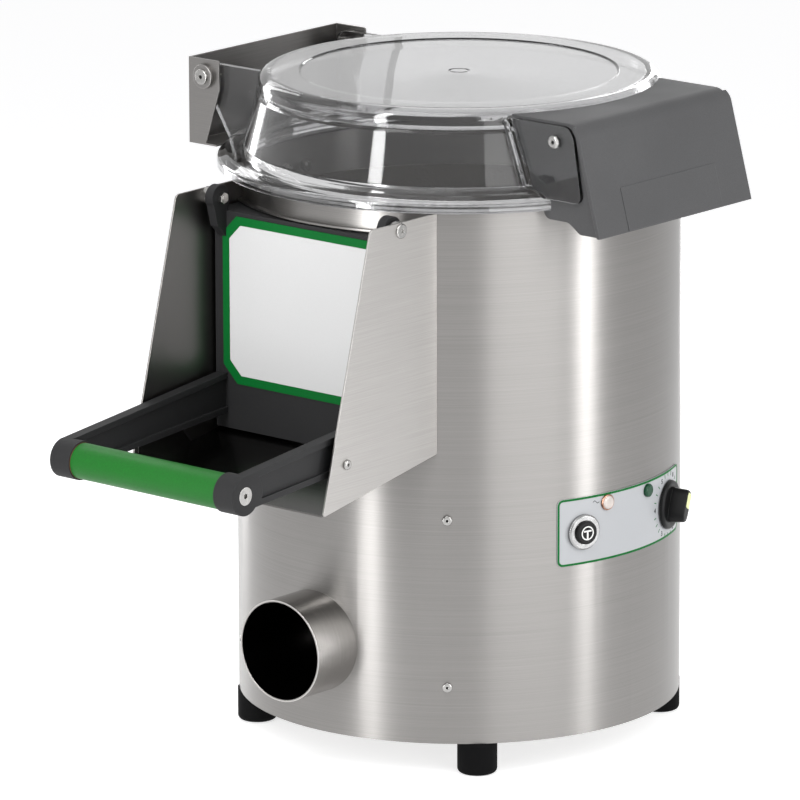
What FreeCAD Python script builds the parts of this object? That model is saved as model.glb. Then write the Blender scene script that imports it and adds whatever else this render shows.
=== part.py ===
import FreeCAD, Part
import math
import os
from FreeCAD import Vector

# Tabletop potato peeler with a round steel body, a clear hinged lid and a front door.
# Millimetres. Heights are counted from the lower edge of the body, on the drum axis.
# +X is the lid's handle side, -X its hinge side, and -Y the front with door and drain.

# Clearances
RUN_GAP = 0.3
PIN_GAP = 0.06
HOLE_GAP = 0.2
SHEET = 1.5

# Body
BODY_R = 185.0
BODY_WALL = 1.5
BODY_H = 444.0
BASE_T = 3.0
BASE_VENT_R = 9.0
BASE_VENT_CIRCLE_R = 120.0
TAB_W = 26.0
TAB_T = 2.0
BASE_TAB_H = 62.0
FLOOR_TAB_H = 36.0
TAB_REACH = 14.0
BASE_VENT_COUNT = 12
BODY_SCREW_AZ = 37.0
BODY_SCREW_LOW_Z = 48.0
BODY_SCREW_HIGH_Z = 189.0
BODY_SCREW_HEAD_R = 4.2
BODY_SCREW_HEAD_H = 2.4
BODY_SCREW_SHANK_R = 2.5
BODY_SCREW_L = 8.0
BODY_SCREW_SOCKET_R = 1.4
GASKET_IN_R = BODY_R - 5.5
GASKET_OUT_R = BODY_R + 2.0
GASKET_T = 2.2

# Feet
FOOT_H = 28.0
FOOT_R = 16.5
FOOT_EDGE_R = 4.0
FOOT_CIRCLE_R = BODY_R - 15.0
FOOT_AZ = 45.0
STUD_R = 4.0
STUD_SINK = 14.0
STUD_RISE = 13.0
NUT_AF = 13.0
NUT_T = 6.5

# Drum: floor plate, abrasive lining and turning disc
TANK_FLOOR_Z = 216.0
TANK_FLOOR_T = 3.0
LINER_T = 2.5
LINER_TOP_Z = BODY_H - 36.0
DISC_R = BODY_R - 11.0
DISC_T = 10.0
DISC_Z = 231.0
GRIT_T = 3.0
GRIT_MARGIN = 2.0
WAVE_COUNT = 3
WAVE_AZ = 20.0
WAVE_R = 16.0
WAVE_H = 7.0
WAVE_IN_R = 42.0
WAVE_OUT_R = DISC_R - 10.0
DISC_HUB_R = 24.0
DISC_HUB_H = 10.0
LIFT_KNOB_R = 15.0
LIFT_KNOB_H = 16.0
LIFT_KNOB_WAIST_R = 10.8
LIFT_KNOB_TOP_R = 13.5
LIFT_KNOB_EDGE_H = 6.4
LIFT_KNOB_WAIST_H = 9.6

# Drive
SHAFT_R = 10.0
SHAFT_FOOT_Z = 24.0
SPIGOT_H = 14.0
BEARING_OUT_R = 23.5
BEARING_W = 14.0
HOUSING_R = 30.0
HOUSING_FLANGE_R = 48.0
HOUSING_FLANGE_T = 8.0
HOUSING_FOOT_Z = 62.0
HOUSING_BOLT_CIRCLE_R = 40.0
HOUSING_BOLT_R = 3.0
HOUSING_BORE_R = 14.0
HOUSING_BOLT_TAIL = 7.0
SMALL_NUT_AF = 10.0
SMALL_NUT_T = 5.0
SEAL_T = 7.0
SEAL_OUT_R = 17.5
SEAL_IN_R = 13.0
SHAFT_NUT_AF = 30.0
FLOOR_HOLE_R = 16.0
DISC_PULLEY_R = 60.0
MOTOR_PULLEY_R = 20.0
PITCH_DEPTH = 4.0
PULLEY_Z = 32.0
PULLEY_W = 16.0
PULLEY_HUB_R = 20.0
PULLEY_HUB_H = 10.0
GROOVE_DEPTH = 9.0
GROOVE_OPEN_W = 12.0
GROOVE_ROOT_W = 9.0
BELT_W = 7.5
BELT_T = 7.0
MOTOR_Y = 104.0
MOTOR_R = 60.0
MOTOR_FOOT_Z = 58.0
MOTOR_H = 138.0
MOTOR_FIN_COUNT = 24
MOTOR_FIN_D = 3.0
MOTOR_SLOT_W = 5.0
MOTOR_SLOT_LOW_H = 22.0
MOTOR_SLOT_TOP_H = 112.0
MOTOR_SHAFT_R = 7.0
MOTOR_HUB_R = 10.0
MOTOR_HUB_H = 3.0
MOTOR_SHAFT_TIP = 3.0
MOTOR_SHAFT_TOP_H = 108.0
MOTOR_BORE_R = 8.0
MOTOR_BORE_H = 118.0
MOTOR_PLATE_T = 6.0
MOTOR_PLATE_W = 150.0
MOTOR_PLATE_D = 124.0
MOTOR_PLATE_CORNER = 12.0
MOTOR_PLATE_WALL_GAP = 4.0
MOTOR_PLATE_HOLE_R = 12.0
HANGER_R = 4.0
HANGER_X = 66.0
HANGER_Y = 50.0
HANGER_TAIL = 10.0
HANGER_CAP_R = 6.5
HANGER_CAP_H = 4.0
MOTOR_BOX_W = 60.0
MOTOR_BOX_D = 22.0
MOTOR_BOX_H = 50.0
MOTOR_BOX_LOW_H = 45.0
MOTOR_BOX_SHIFT = 12.0

# Drain
DRAIN_R = 42.5
DRAIN_WALL = 1.5
DRAIN_Z = 76.0
DRAIN_MOUTH_Y = BODY_R + 43.0
DRAIN_RISER_Y = BODY_R - 67.0

# Chute
CHUTE_HALF_W = 104.7
CHUTE_TOP_Y = BODY_R + 49.0
CHUTE_LIP_Y = BODY_R + 108.3
CHUTE_LIP_Z = 219.8
CHUTE_BACK_Y = BODY_R - 32.5
CHUTE_BACK_Z = 244.6
CHUTE_FLANGE_H = 42.0
CHUTE_SCREW_Y = BODY_R + 79.5
CHUTE_SCREW_Z = 258.0
CHUTE_INNER_Y = BODY_R - 85.0
TRAY_SCREW_L = 3.0
OPENING_HALF_W = 99.0
OPENING_SILL_Z = 247.5
OPENING_TOP_Z = BODY_H - 17.0
OPENING_LIP = 5.0

# Door with its hinge and handle
HINGE_Y = BODY_R + 12.0
HINGE_Z = BODY_H - 6.7
DOOR_HALF_W = 101.0
DOOR_FACE_Y = BODY_R + 5.0
DOOR_TOP_GAP = 1.5
DOOR_FLOOR_GAP = 1.3
DOOR_WALL = 3.5
DOOR_POCKET_X = 62.0
DOOR_INNER_Y = BODY_R - 45.0
EAR_R = 10.5
EAR_T = 8.0
EAR_FACE_X = 88.0
EAR_FOOT_Z = BODY_H - 40.0
DOOR_PIN_R = 3.0
LABEL_T = 0.8
LABEL_BORDER_W = 7.0
LABEL_BORDER_RISE = 0.2
LABEL_HALF_W = 92.0
LABEL_LOW_Z = 281.5
LABEL_HIGH_Z = BODY_H - 22.0
LABEL_CHAMFER = 15.0
ARM_OUT_X = 98.0
ARM_T = 10.0
ARM_WEB_T = 5.0
ARM_FLANGE_T = 5.0
ARM_TOP_Z = 289.5
ARM_LOW_Z = 255.5
GRIP_Y = BODY_R + 193.0
GRIP_Z = 253.5
BOSS_R = 16.0
BOSS_L = 20.5
GRIP_R = 14.7
GRIP_CORE_R = 6.0

# Lid
LID_RISE = 78.5
LID_T = 3.0
LID_FLANGE_R = BODY_R + 15.0
LID_WALL_FOOT_R = LID_FLANGE_R - 22.0
LID_WALL_TOP_R = LID_FLANGE_R - 32.0
LID_SHOULDER_R = LID_FLANGE_R - 33.5
LID_SHOULDER_ROUND = 10.0
LID_STEP_Z = 62.0
LID_RING_R = LID_SHOULDER_R - 35.8
LID_RING_DROP = 1.2
LID_FLANGE_H = 17.5
LID_SKIRT_H = 8.0
LID_DIMPLE_R = 9.0
LID_DIMPLE_H = 1.2
FIN_Y = 95.3
FIN_T = 3.5
FIN_TOP_DROP = 6.8
FIN_OUT_TOP_X = LID_FLANGE_R + 0.5
FIN_OUT_LOW_X = LID_FLANGE_R + 10.5
FIN_LOW_RISE = 10.0
FIN_RIB_W = 5.0
FIN_ROOT_X = LID_FLANGE_R - 90.0
FIN_RIB_X = LID_FLANGE_R - 68.0
FIN_SCREW_X = LID_FLANGE_R - 17.2
FIN_SCREW_DROP = 20.5
COVER_SCREW_R = 2.0
COVER_SCREW_L = 12.0
COVER_NUT_AF = 8.0
COVER_NUT_T = 3.5
COVER_T = 3.0
COVER_TOP_DROP = 4.5
COVER_TOP_X = LID_FLANGE_R + 5.0
COVER_LOW_X = LID_FLANGE_R + 29.5
COVER_LOW_DROP = 15.5
COVER_ROUND = 14.0
COVER_ROOT_X = LID_FLANGE_R - 82.0

# Lid hinge
PIVOT_X = LID_FLANGE_R - 3.0
PIVOT_Z = BODY_H + 64.0
PIVOT_PIN_R = 4.0
PIVOT_EYE_R = 11.0
LID_ARM_Y = 85.0
LID_ARM_T = 6.0
LID_ARM_ROOT_X = LID_FLANGE_R - 80.0
BRACKET_BACK_X = BODY_R + 30.0
BRACKET_HALF_W = 94.0
BRACKET_TOP_Z = BODY_H + 78.5
BRACKET_LOW_Z = BODY_H + 5.5
BRACKET_EDGE_X = BRACKET_BACK_X - 34.0
BRACKET_EDGE_Z = BODY_H + 54.0
BRACKET_TOE_X = BRACKET_BACK_X - 18.0
BRACKET_LEG_HALF_W = 22.0
BRACKET_LEG_FOOT_Z = BODY_H - 46.0
BRACKET_BOLT_Z = BODY_H - 25.0
BRACKET_BOLT_Y = 12.0
BRACKET_BOLT_R = 3.0
WASHER_R = 10.5
WASHER_T = 4.0

# Control panel, by azimuth from the front towards +X
PANEL_AZ = 91.0
PANEL_ARC = 51.0
PANEL_LOW_Z = 144.5
PANEL_HIGH_Z = 201.0
PANEL_T = 0.8
PANEL_CORNER = 5.0
BUTTON_AZ = 73.0
BUTTON_Z = 172.0
BEZEL_R = 14.8
BEZEL_H = 3.5
BUTTON_HOLE_R = 11.0
CAP_R = 9.6
CAP_PROUD = 3.0
BUTTON_TRAVEL = 3.0
SWITCH_W = 30.0
SWITCH_D = 34.0
LAMP_Z = 193.0
CLEAR_LAMP_AZ = 80.6
GREEN_LAMP_AZ = 96.3
LAMP_R = 5.6
LAMP_H = 3.2
LAMP_BODY_R = 4.5
LAMP_BODY_L = 18.0
KNOB_AZ = 108.2
KNOB_Z = 172.0
KNOB_SKIRT_R = 20.5
KNOB_SKIRT_H = 4.5
KNOB_H = 18.0
KNOB_BAR_W = 13.0
KNOB_STEM_R = 3.0
KNOB_STEM_HOLE_R = 4.0
KNOB_BAR_R = 14.76
TIMER_W = 42.0
TIMER_D = 38.0

# Rear fittings
INLET_Z = BODY_H - 20.0
INLET_R = 13.2
INLET_L = 17.0
INLET_BORE_R = 8.0
INLET_NECK_R = 10.0
INLET_NECK_L = 8.0
INLET_NUT_AF = 30.0
INLET_NUT_T = 7.0
NOZZLE_R = 10.0
NOZZLE_L = 22.0
GLAND_Z = 92.0
GLAND_AZ = 167.0
GLAND_R = 8.0
GLAND_AF = 22.0
GLAND_L = 18.0
GLAND_NECK_L = 9.0
GLAND_NUT_T = 6.0
GLAND_BORE_R = 4.0

# Relay box
RELAY_BOX_OUT_X = BODY_R - 35.0
RELAY_BOX_BACK_Y = 2.0
RELAY_BOX_W = 72.0
RELAY_BOX_D = 60.0
RELAY_BOX_H = 70.0
RELAY_BOX_WALL = 2.0
RELAY_BOX_HOLE_R = 6.0

# Worked out from the sizes above
LID_BASE_Z = BODY_H + GASKET_T + RUN_GAP
LID_TOP_Z = LID_BASE_Z + LID_RISE
BODY_IN_R = BODY_R - BODY_WALL
LINER_IN_R = BODY_IN_R - LINER_T
DISC_TOP_Z = DISC_Z + DISC_T
PLATE_IN_X = CHUTE_HALF_W - SHEET
CHUTE_FALL = (CHUTE_BACK_Z - CHUTE_LIP_Z) / (CHUTE_LIP_Y - CHUTE_BACK_Y)
DOOR_BACK_R = BODY_R + 1.2
DISC_PITCH_R = DISC_PULLEY_R - PITCH_DEPTH
MOTOR_PITCH_R = MOTOR_PULLEY_R - PITCH_DEPTH
BELT_RATIO = DISC_PITCH_R / MOTOR_PITCH_R
COVER_LOW_Z = LID_BASE_Z - COVER_LOW_DROP
COVER_TOP_Z = LID_TOP_Z - COVER_TOP_DROP
FIN_OUT_Y = FIN_Y + FIN_T
DRILL_FROM_R = BODY_R - 35.0
DRILL_L = 60.0
CROSS_DRILL = 3 * FIN_OUT_Y
PANEL_SEAT = PANEL_T + 0.1
SHIFT_X = (BRACKET_BACK_X - COVER_LOW_X) / 2
SHIFT_Y = (GRIP_Y + BOSS_R - BODY_R - INLET_NUT_T - INLET_L) / 2

FRONT = Vector(0, -1, 0)
RIGHT = Vector(1, 0, 0)
UP = Vector(0, 0, 1)
AXIS_FOOT = Vector(0, 0, 0)


def in_plane(plane, a, b, level):
    if plane == "xy":
        return Vector(a, b, level)
    if plane == "xz":
        return Vector(a, level, b)
    return Vector(level, a, b)


def outline(points, radii, plane="xz", level=0.0):
    """Closed wire through the points, with each corner rounded by its radius."""
    if not hasattr(radii, "__len__"):
        radii = [radii] * len(points)
    corners = [in_plane(plane, a, b, level) for a, b in points]
    stops = []
    arcs = []
    for i, corner in enumerate(corners):
        radius = radii[i]
        if radius <= 0:
            stops.append((corner, corner))
            arcs.append(None)
            continue
        back = (corners[i - 1] - corner).normalize()
        ahead = (corners[(i + 1) % len(corners)] - corner).normalize()
        half = back.getAngle(ahead) / 2
        reach = radius / math.tan(half)
        middle = (back + ahead).normalize()
        start = corner + back * reach
        end = corner + ahead * reach
        crown = corner + middle * (radius / math.sin(half) - radius)
        stops.append((start, end))
        arcs.append(Part.Arc(start, crown, end).toShape())
    edges = []
    for i, arc in enumerate(arcs):
        if arc is not None:
            edges.append(arc)
        begin = stops[i][1]
        finish = stops[(i + 1) % len(stops)][0]
        if begin.distanceToPoint(finish) > 1e-6:
            edges.append(Part.LineSegment(begin, finish).toShape())
    return Part.Wire(edges)


def slab(points, plane, start, end, radii=0.0):
    """Flat piece: an outline in a plane, as thick as from start to end along its normal."""
    normal = {"xy": Vector(0, 0, 1), "xz": Vector(0, 1, 0), "yz": Vector(1, 0, 0)}[plane]
    face = Part.Face(outline(points, radii, plane, start))
    return face.extrude(normal * (end - start))


def lathe(points, radii=0.0):
    """Solid turned about the drum axis from (radius, height) points."""
    face = Part.Face(outline(points, radii, "xz", 0.0))
    return face.revolve(AXIS_FOOT, UP, 360)


def rod(radius, start, direction, length):
    return Part.makeCylinder(radius, length, start, direction)


def ring(outer, inner, start, direction, length):
    return rod(outer, start, direction, length).cut(rod(inner, start, direction, length))


def block(x0, x1, y0, y1, z0, z1):
    return Part.makeBox(x1 - x0, y1 - y0, z1 - z0, Vector(x0, y0, z0))


def hexagon(across_flats, start, direction, length):
    radius = across_flats / math.sqrt(3)
    points = [(radius * math.cos(math.radians(60 * i)), radius * math.sin(math.radians(60 * i)))
              for i in range(6)]
    shape = slab(points, "xy", 0.0, length)
    shape.Placement = FreeCAD.Placement(start, FreeCAD.Rotation(UP, direction))
    return shape


def both_sides(shape):
    """The piece and its mirror image on the other side of the X = 0 plane."""
    return [shape, shape.mirror(AXIS_FOOT, RIGHT)]


def front_and_back(shape):
    """The piece and its mirror image on the other side of the Y = 0 plane."""
    return [shape, shape.mirror(AXIS_FOOT, Vector(0, 1, 0))]


def group(shapes):
    return Part.makeCompound(shapes)


def joined(shapes):
    return shapes[0].multiFuse(shapes[1:]).removeSplitter()


def outward(azimuth):
    angle = math.radians(azimuth)
    return Vector(math.sin(angle), -math.cos(angle), 0)


def around(azimuth, radius, z):
    return outward(azimuth) * radius + Vector(0, 0, z)


def on_wall(shape, azimuth, z, radius=BODY_R):
    """Stand a piece on the wall: its own +Z points outward and its own +Y points up."""
    out = outward(azimuth)
    across = Vector(-out.y, out.x, 0)
    matrix = FreeCAD.Matrix(across.x, 0, out.x, out.x * radius,
                            across.y, 0, out.y, out.y * radius,
                            0, 1, 0, z,
                            0, 0, 0, 1)
    placed = shape.copy()
    placed.Placement = FreeCAD.Placement(matrix)
    return placed


def wall_hole(radius, azimuth, z):
    """Space of a round hole drilled outward through the wall."""
    return rod(radius, around(azimuth, DRILL_FROM_R, z), outward(azimuth), DRILL_L)


def cross_hole(radius, x, z):
    """Space of a round hole drilled along Y from one side of the lid to the other."""
    return rod(radius, Vector(x, -CROSS_DRILL / 2, z), -FRONT, CROSS_DRILL)


def body_space(radius, low, high):
    return rod(radius, Vector(0, 0, low), UP, high - low)


def button_head(radius, height, socket_r, start, direction):
    """Low domed screw head with a socket."""
    head = rod(radius, start, direction, height)
    rim = [e for e in head.Edges if abs((e.CenterOfMass - start).dot(direction) - height) < 1e-6]
    head = head.makeFillet(height * 0.6, rim)
    socket = rod(socket_r, start + direction * (height * 0.4), direction, height)
    return head.cut(socket)


# Height of the chute floor's underside along the depth
def chute_floor_z(depth):
    return CHUTE_BACK_Z - (depth - CHUTE_BACK_Y) * CHUTE_FALL


def screw_azimuths():
    return [BODY_SCREW_AZ, 180 - BODY_SCREW_AZ, 180 + BODY_SCREW_AZ, 360 - BODY_SCREW_AZ]


def foot_azimuths():
    return [FOOT_AZ + 90 * i for i in range(4)]


# Body
def sheet_tube(low, high):
    return ring(BODY_R, BODY_IN_R, Vector(0, 0, low), UP, high - low)


def base_shell():
    """Lower sheet, round the drive, up to the top of the drum floor."""
    holes = [rod(DRAIN_R, Vector(0, 0, DRAIN_Z), FRONT, BODY_R + 1)]
    holes.append(wall_hole(BUTTON_HOLE_R, BUTTON_AZ, BUTTON_Z))
    for azimuth in (CLEAR_LAMP_AZ, GREEN_LAMP_AZ):
        holes.append(wall_hole(LAMP_BODY_R, azimuth, LAMP_Z))
    holes.append(wall_hole(KNOB_STEM_HOLE_R, KNOB_AZ, KNOB_Z))
    holes.append(wall_hole(GLAND_R, GLAND_AZ, GLAND_Z))
    holes += screw_holes(BODY_SCREW_LOW_Z) + screw_holes(BODY_SCREW_HIGH_Z)
    return sheet_tube(0, TANK_FLOOR_Z).cut(holes)


def body_shell():
    """Upper sheet, round the drum, with the opening for the door and the lip above it."""
    opening = block(-OPENING_HALF_W, OPENING_HALF_W, -BODY_R - 1, 0, OPENING_SILL_Z, OPENING_TOP_Z)
    lip = ring(BODY_R + OPENING_LIP, BODY_R - BODY_WALL / 2, Vector(0, 0, OPENING_TOP_Z), UP, SHEET)
    reach = PLATE_IN_X - HOLE_GAP
    lip = lip.common(block(-reach, reach, -BODY_R - OPENING_LIP, 0, OPENING_TOP_Z, OPENING_TOP_Z + SHEET))
    holes = [wall_hole(INLET_NECK_R, 180, INLET_Z)]
    for y in (-BRACKET_BOLT_Y, BRACKET_BOLT_Y):
        holes.append(rod(BRACKET_BOLT_R + HOLE_GAP, Vector(-DRILL_FROM_R, y, BRACKET_BOLT_Z), -RIGHT, DRILL_L))
    return joined([sheet_tube(TANK_FLOOR_Z, BODY_H).cut(opening), lip]).cut(holes)


def wall_tab(azimuth, low, high):
    """Flat tab that stands against the inside of the wall."""
    tab = slab([(-TAB_W / 2, low), (TAB_W / 2, low), (TAB_W / 2, high), (-TAB_W / 2, high)], "xz", 0, TAB_REACH)
    tab.rotate(AXIS_FOOT, UP, azimuth)
    tab.translate(outward(azimuth) * (BODY_IN_R - HOLE_GAP))
    return tab.common(ring(BODY_IN_R - HOLE_GAP, BODY_IN_R - HOLE_GAP - TAB_T, Vector(0, 0, low), UP, high - low))


def screw_holes(z):
    return [wall_hole(BODY_SCREW_SHANK_R + HOLE_GAP, azimuth, z) for azimuth in screw_azimuths()]


def base_plate():
    plate = body_space(BODY_IN_R - HOLE_GAP, 0, BASE_T)
    tabs = [wall_tab(a, BASE_T / 2, BASE_TAB_H) for a in screw_azimuths()]
    holes = [rod(STUD_R + HOLE_GAP, around(a, FOOT_CIRCLE_R, -1), UP, 20) for a in foot_azimuths()]
    for i in range(BASE_VENT_COUNT):
        azimuth = 360 * i / BASE_VENT_COUNT
        holes.append(rod(BASE_VENT_R, around(azimuth, BASE_VENT_CIRCLE_R, -1), UP, BASE_T + 2))
    return joined([plate] + tabs).cut(holes + screw_holes(BODY_SCREW_LOW_Z))


def button_screw(start, direction, length):
    shank = rod(BODY_SCREW_SHANK_R, start - direction * length, direction, length + 0.2)
    head = button_head(BODY_SCREW_HEAD_R, BODY_SCREW_HEAD_H, BODY_SCREW_SOCKET_R, start, direction)
    return head.fuse(shank)


def body_screws():
    """The small screws in the wall, and those that hold the chute's tray."""
    screws = [button_screw(around(azimuth, BODY_R, z), outward(azimuth), BODY_SCREW_L)
              for azimuth in screw_azimuths() for z in (BODY_SCREW_LOW_Z, BODY_SCREW_HIGH_Z)]
    tray = button_screw(Vector(CHUTE_HALF_W, -CHUTE_SCREW_Y, CHUTE_SCREW_Z), RIGHT, TRAY_SCREW_L)
    return group(screws + both_sides(tray))


def rim_gasket():
    return ring(GASKET_OUT_R, GASKET_IN_R, Vector(0, 0, BODY_H), UP, GASKET_T)


def foot(azimuth):
    points = [(0, -FOOT_H), (FOOT_R, -FOOT_H), (FOOT_R, 0), (0, 0)]
    shape = lathe(points, [0, FOOT_EDGE_R, 0, 0])
    socket = rod(STUD_R, Vector(0, 0, -STUD_SINK), UP, STUD_SINK)
    shape = shape.cut(socket)
    shape.translate(around(azimuth, FOOT_CIRCLE_R, 0))
    return shape


def rubber_feet():
    return group([foot(a) for a in foot_azimuths()])


def foot_studs():
    """A stud with its nut for each foot."""
    studs = []
    for azimuth in foot_azimuths():
        stud = rod(STUD_R, around(azimuth, FOOT_CIRCLE_R, -STUD_SINK), UP, STUD_SINK + STUD_RISE)
        nut = hexagon(NUT_AF, around(azimuth, FOOT_CIRCLE_R, BASE_T), UP, NUT_T)
        studs.append(stud.fuse(nut))
    return group(studs)


# Drum
def tank_floor():
    low = TANK_FLOOR_Z - TANK_FLOOR_T
    plate = body_space(BODY_IN_R - HOLE_GAP, low, TANK_FLOOR_Z)
    tabs = [wall_tab(a, TANK_FLOOR_Z - FLOOR_TAB_H, low + TANK_FLOOR_T / 2) for a in screw_azimuths()]
    holes = [body_space(FLOOR_HOLE_R, low - 1, TANK_FLOOR_Z + 1)]
    holes.append(rod(DRAIN_R, Vector(0, -DRAIN_RISER_Y, low - 1), UP, TANK_FLOOR_T + 2))
    for x, y in hanger_spots():
        holes.append(rod(HANGER_R + HOLE_GAP, Vector(x, y, low - 1), UP, TANK_FLOOR_T + 2))
    for angle in housing_bolt_angles():
        holes.append(rod(HOUSING_BOLT_R + HOLE_GAP, around(angle, HOUSING_BOLT_CIRCLE_R, low - 1), UP, 9))
    return joined([plate] + tabs).cut(holes + screw_holes(BODY_SCREW_HIGH_Z))


def drum_lining():
    tube = ring(BODY_IN_R, LINER_IN_R, Vector(0, 0, TANK_FLOOR_Z), UP, LINER_TOP_Z - TANK_FLOOR_Z)
    side = OPENING_HALF_W
    return tube.cut(block(-side, side, -BODY_R, 0, OPENING_SILL_Z, LINER_TOP_Z + 1))


def peeling_disc():
    disc = body_space(DISC_R, DISC_Z, DISC_TOP_Z)
    hub = body_space(DISC_HUB_R, DISC_Z - DISC_HUB_H, DISC_Z)
    bore = body_space(SHAFT_R, DISC_Z - DISC_HUB_H - 1, DISC_TOP_Z + 1)
    return joined([disc, hub]).cut(bore)


def wave_ridge(azimuth):
    """Low rounded ridge that lifts the potatoes as the disc turns."""
    drop = WAVE_R - WAVE_H
    start = around(azimuth, WAVE_IN_R, DISC_TOP_Z + GRIT_T - drop)
    ridge = rod(WAVE_R, start, outward(azimuth), WAVE_OUT_R - WAVE_IN_R)
    return ridge.common(body_space(DISC_R, DISC_TOP_Z + GRIT_T / 2, DISC_TOP_Z + GRIT_T + WAVE_H))


def abrasive_top():
    plate = ring(DISC_R - GRIT_MARGIN, LIFT_KNOB_R + 1, Vector(0, 0, DISC_TOP_Z), UP, GRIT_T)
    ridges = [wave_ridge(WAVE_AZ + 360 * i / WAVE_COUNT) for i in range(WAVE_COUNT)]
    return joined([plate] + ridges)


def disc_lift_knob():
    base = DISC_TOP_Z
    points = [(0, base), (LIFT_KNOB_R, base), (LIFT_KNOB_R, base + LIFT_KNOB_EDGE_H),
              (LIFT_KNOB_WAIST_R, base + LIFT_KNOB_WAIST_H), (LIFT_KNOB_TOP_R, base + LIFT_KNOB_H),
              (0, base + LIFT_KNOB_H)]
    knob = lathe(points, [0, 0, 1.5, 2, 3, 0])
    return knob.cut(body_space(SHAFT_R, base - 1, DISC_Z + SPIGOT_H))


# Drive
def drive_shaft():
    return body_space(SHAFT_R, SHAFT_FOOT_Z, DISC_Z + SPIGOT_H)


def housing_bolt_angles():
    return [90 * i for i in range(4)]


def bearing_housing():
    top = TANK_FLOOR_Z - TANK_FLOOR_T
    tube = body_space(HOUSING_R, HOUSING_FOOT_Z, top)
    flange = body_space(HOUSING_FLANGE_R, top - HOUSING_FLANGE_T, top)
    cuts = [body_space(HOUSING_BORE_R, HOUSING_FOOT_Z - 1, top + 1)]
    cuts.append(body_space(BEARING_OUT_R, HOUSING_FOOT_Z - 1, HOUSING_FOOT_Z + BEARING_W))
    cuts.append(body_space(BEARING_OUT_R, top - SEAL_T - BEARING_W, top - SEAL_T))
    cuts.append(body_space(BEARING_OUT_R, top - SEAL_T, top + 1))
    for angle in housing_bolt_angles():
        cuts.append(rod(HOUSING_BOLT_R + HOLE_GAP, around(angle, HOUSING_BOLT_CIRCLE_R, top - 20), UP, 30))
    return joined([tube, flange]).cut(cuts)


def housing_bolts():
    top = TANK_FLOOR_Z
    bolts = []
    for angle in housing_bolt_angles():
        length = TANK_FLOOR_T + HOUSING_FLANGE_T + HOUSING_BOLT_TAIL
        shank = rod(HOUSING_BOLT_R, around(angle, HOUSING_BOLT_CIRCLE_R, top - length), UP, length)
        nut_top = top - TANK_FLOOR_T - HOUSING_FLANGE_T
        nut = hexagon(SMALL_NUT_AF, around(angle, HOUSING_BOLT_CIRCLE_R, nut_top - SMALL_NUT_T), UP, SMALL_NUT_T)
        head = button_head(5.2, 3, 1.8, around(angle, HOUSING_BOLT_CIRCLE_R, top), UP)
        bolts.append(joined([shank, nut, head]))
    return group(bolts)


def bearing(low):
    return ring(BEARING_OUT_R, SHAFT_R + PIN_GAP, Vector(0, 0, low), UP, BEARING_W)


def shaft_bearings():
    upper = TANK_FLOOR_Z - TANK_FLOOR_T - SEAL_T - BEARING_W
    return group([bearing(HOUSING_FOOT_Z), bearing(upper)])


def shaft_seal():
    low = TANK_FLOOR_Z - TANK_FLOOR_T - SEAL_T
    seal = ring(BEARING_OUT_R, SHAFT_R + PIN_GAP, Vector(0, 0, low), UP, SEAL_T)
    groove = ring(SEAL_OUT_R, SEAL_IN_R, Vector(0, 0, low + SEAL_T / 2), UP, SEAL_T)
    return seal.cut(groove)


def pulley(outer_r, bore_r, hub_r, hub_h):
    """Wheel with one belt groove and a hub above it, on the drum axis."""
    mid = PULLEY_Z + PULLEY_W / 2
    top = PULLEY_Z + PULLEY_W
    root = outer_r - GROOVE_DEPTH
    points = [(bore_r, PULLEY_Z), (outer_r, PULLEY_Z), (outer_r, mid - GROOVE_OPEN_W / 2),
              (root, mid - GROOVE_ROOT_W / 2), (root, mid + GROOVE_ROOT_W / 2),
              (outer_r, mid + GROOVE_OPEN_W / 2), (outer_r, top), (hub_r, top),
              (hub_r, top + hub_h), (bore_r, top + hub_h)]
    return lathe(points)


def disc_pulley():
    wheel = pulley(DISC_PULLEY_R, SHAFT_R, PULLEY_HUB_R, PULLEY_HUB_H)
    web_r = (PULLEY_HUB_R + DISC_PULLEY_R - GROOVE_DEPTH) / 2
    hole_r = (DISC_PULLEY_R - GROOVE_DEPTH - PULLEY_HUB_R) / 2 - 5
    holes = [rod(hole_r, around(60 * i, web_r, PULLEY_Z - 1), UP, PULLEY_W + 2) for i in range(6)]
    return wheel.cut(holes)


def shaft_nut():
    start = Vector(0, 0, SHAFT_FOOT_Z + 1)
    nut = hexagon(SHAFT_NUT_AF, start, UP, PULLEY_Z - SHAFT_FOOT_Z - 1)
    return nut.cut(body_space(SHAFT_R, SHAFT_FOOT_Z, PULLEY_Z))


def motor_pulley():
    wheel = pulley(MOTOR_PULLEY_R, MOTOR_SHAFT_R, MOTOR_HUB_R, MOTOR_HUB_H)
    wheel.translate(Vector(0, MOTOR_Y, 0))
    return wheel


def belt_loop(disc_r, motor_r):
    """Closed wire round both pulleys at the given radii."""
    tilt = math.asin((disc_r - motor_r) / MOTOR_Y)
    side = Vector(math.cos(tilt), math.sin(tilt), 0)
    other = Vector(-side.x, side.y, 0)
    far = Vector(0, MOTOR_Y, 0)
    edges = [Part.Arc(side * disc_r, Vector(0, -disc_r, 0), other * disc_r).toShape()]
    edges.append(Part.LineSegment(other * disc_r, far + other * motor_r).toShape())
    edges.append(Part.Arc(far + other * motor_r, far + Vector(0, motor_r, 0), far + side * motor_r).toShape())
    edges.append(Part.LineSegment(far + side * motor_r, side * disc_r).toShape())
    return Part.Wire(edges)


def drive_belt():
    inner = GROOVE_DEPTH - 1
    outer = inner - BELT_T
    low = PULLEY_Z + (PULLEY_W - BELT_W) / 2
    around_all = Part.Face(belt_loop(DISC_PULLEY_R - outer, MOTOR_PULLEY_R - outer))
    inside = Part.Face(belt_loop(DISC_PULLEY_R - inner, MOTOR_PULLEY_R - inner))
    belt = around_all.extrude(UP * BELT_W).cut(inside.extrude(UP * BELT_W))
    belt.translate(Vector(0, 0, low))
    return belt


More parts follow.
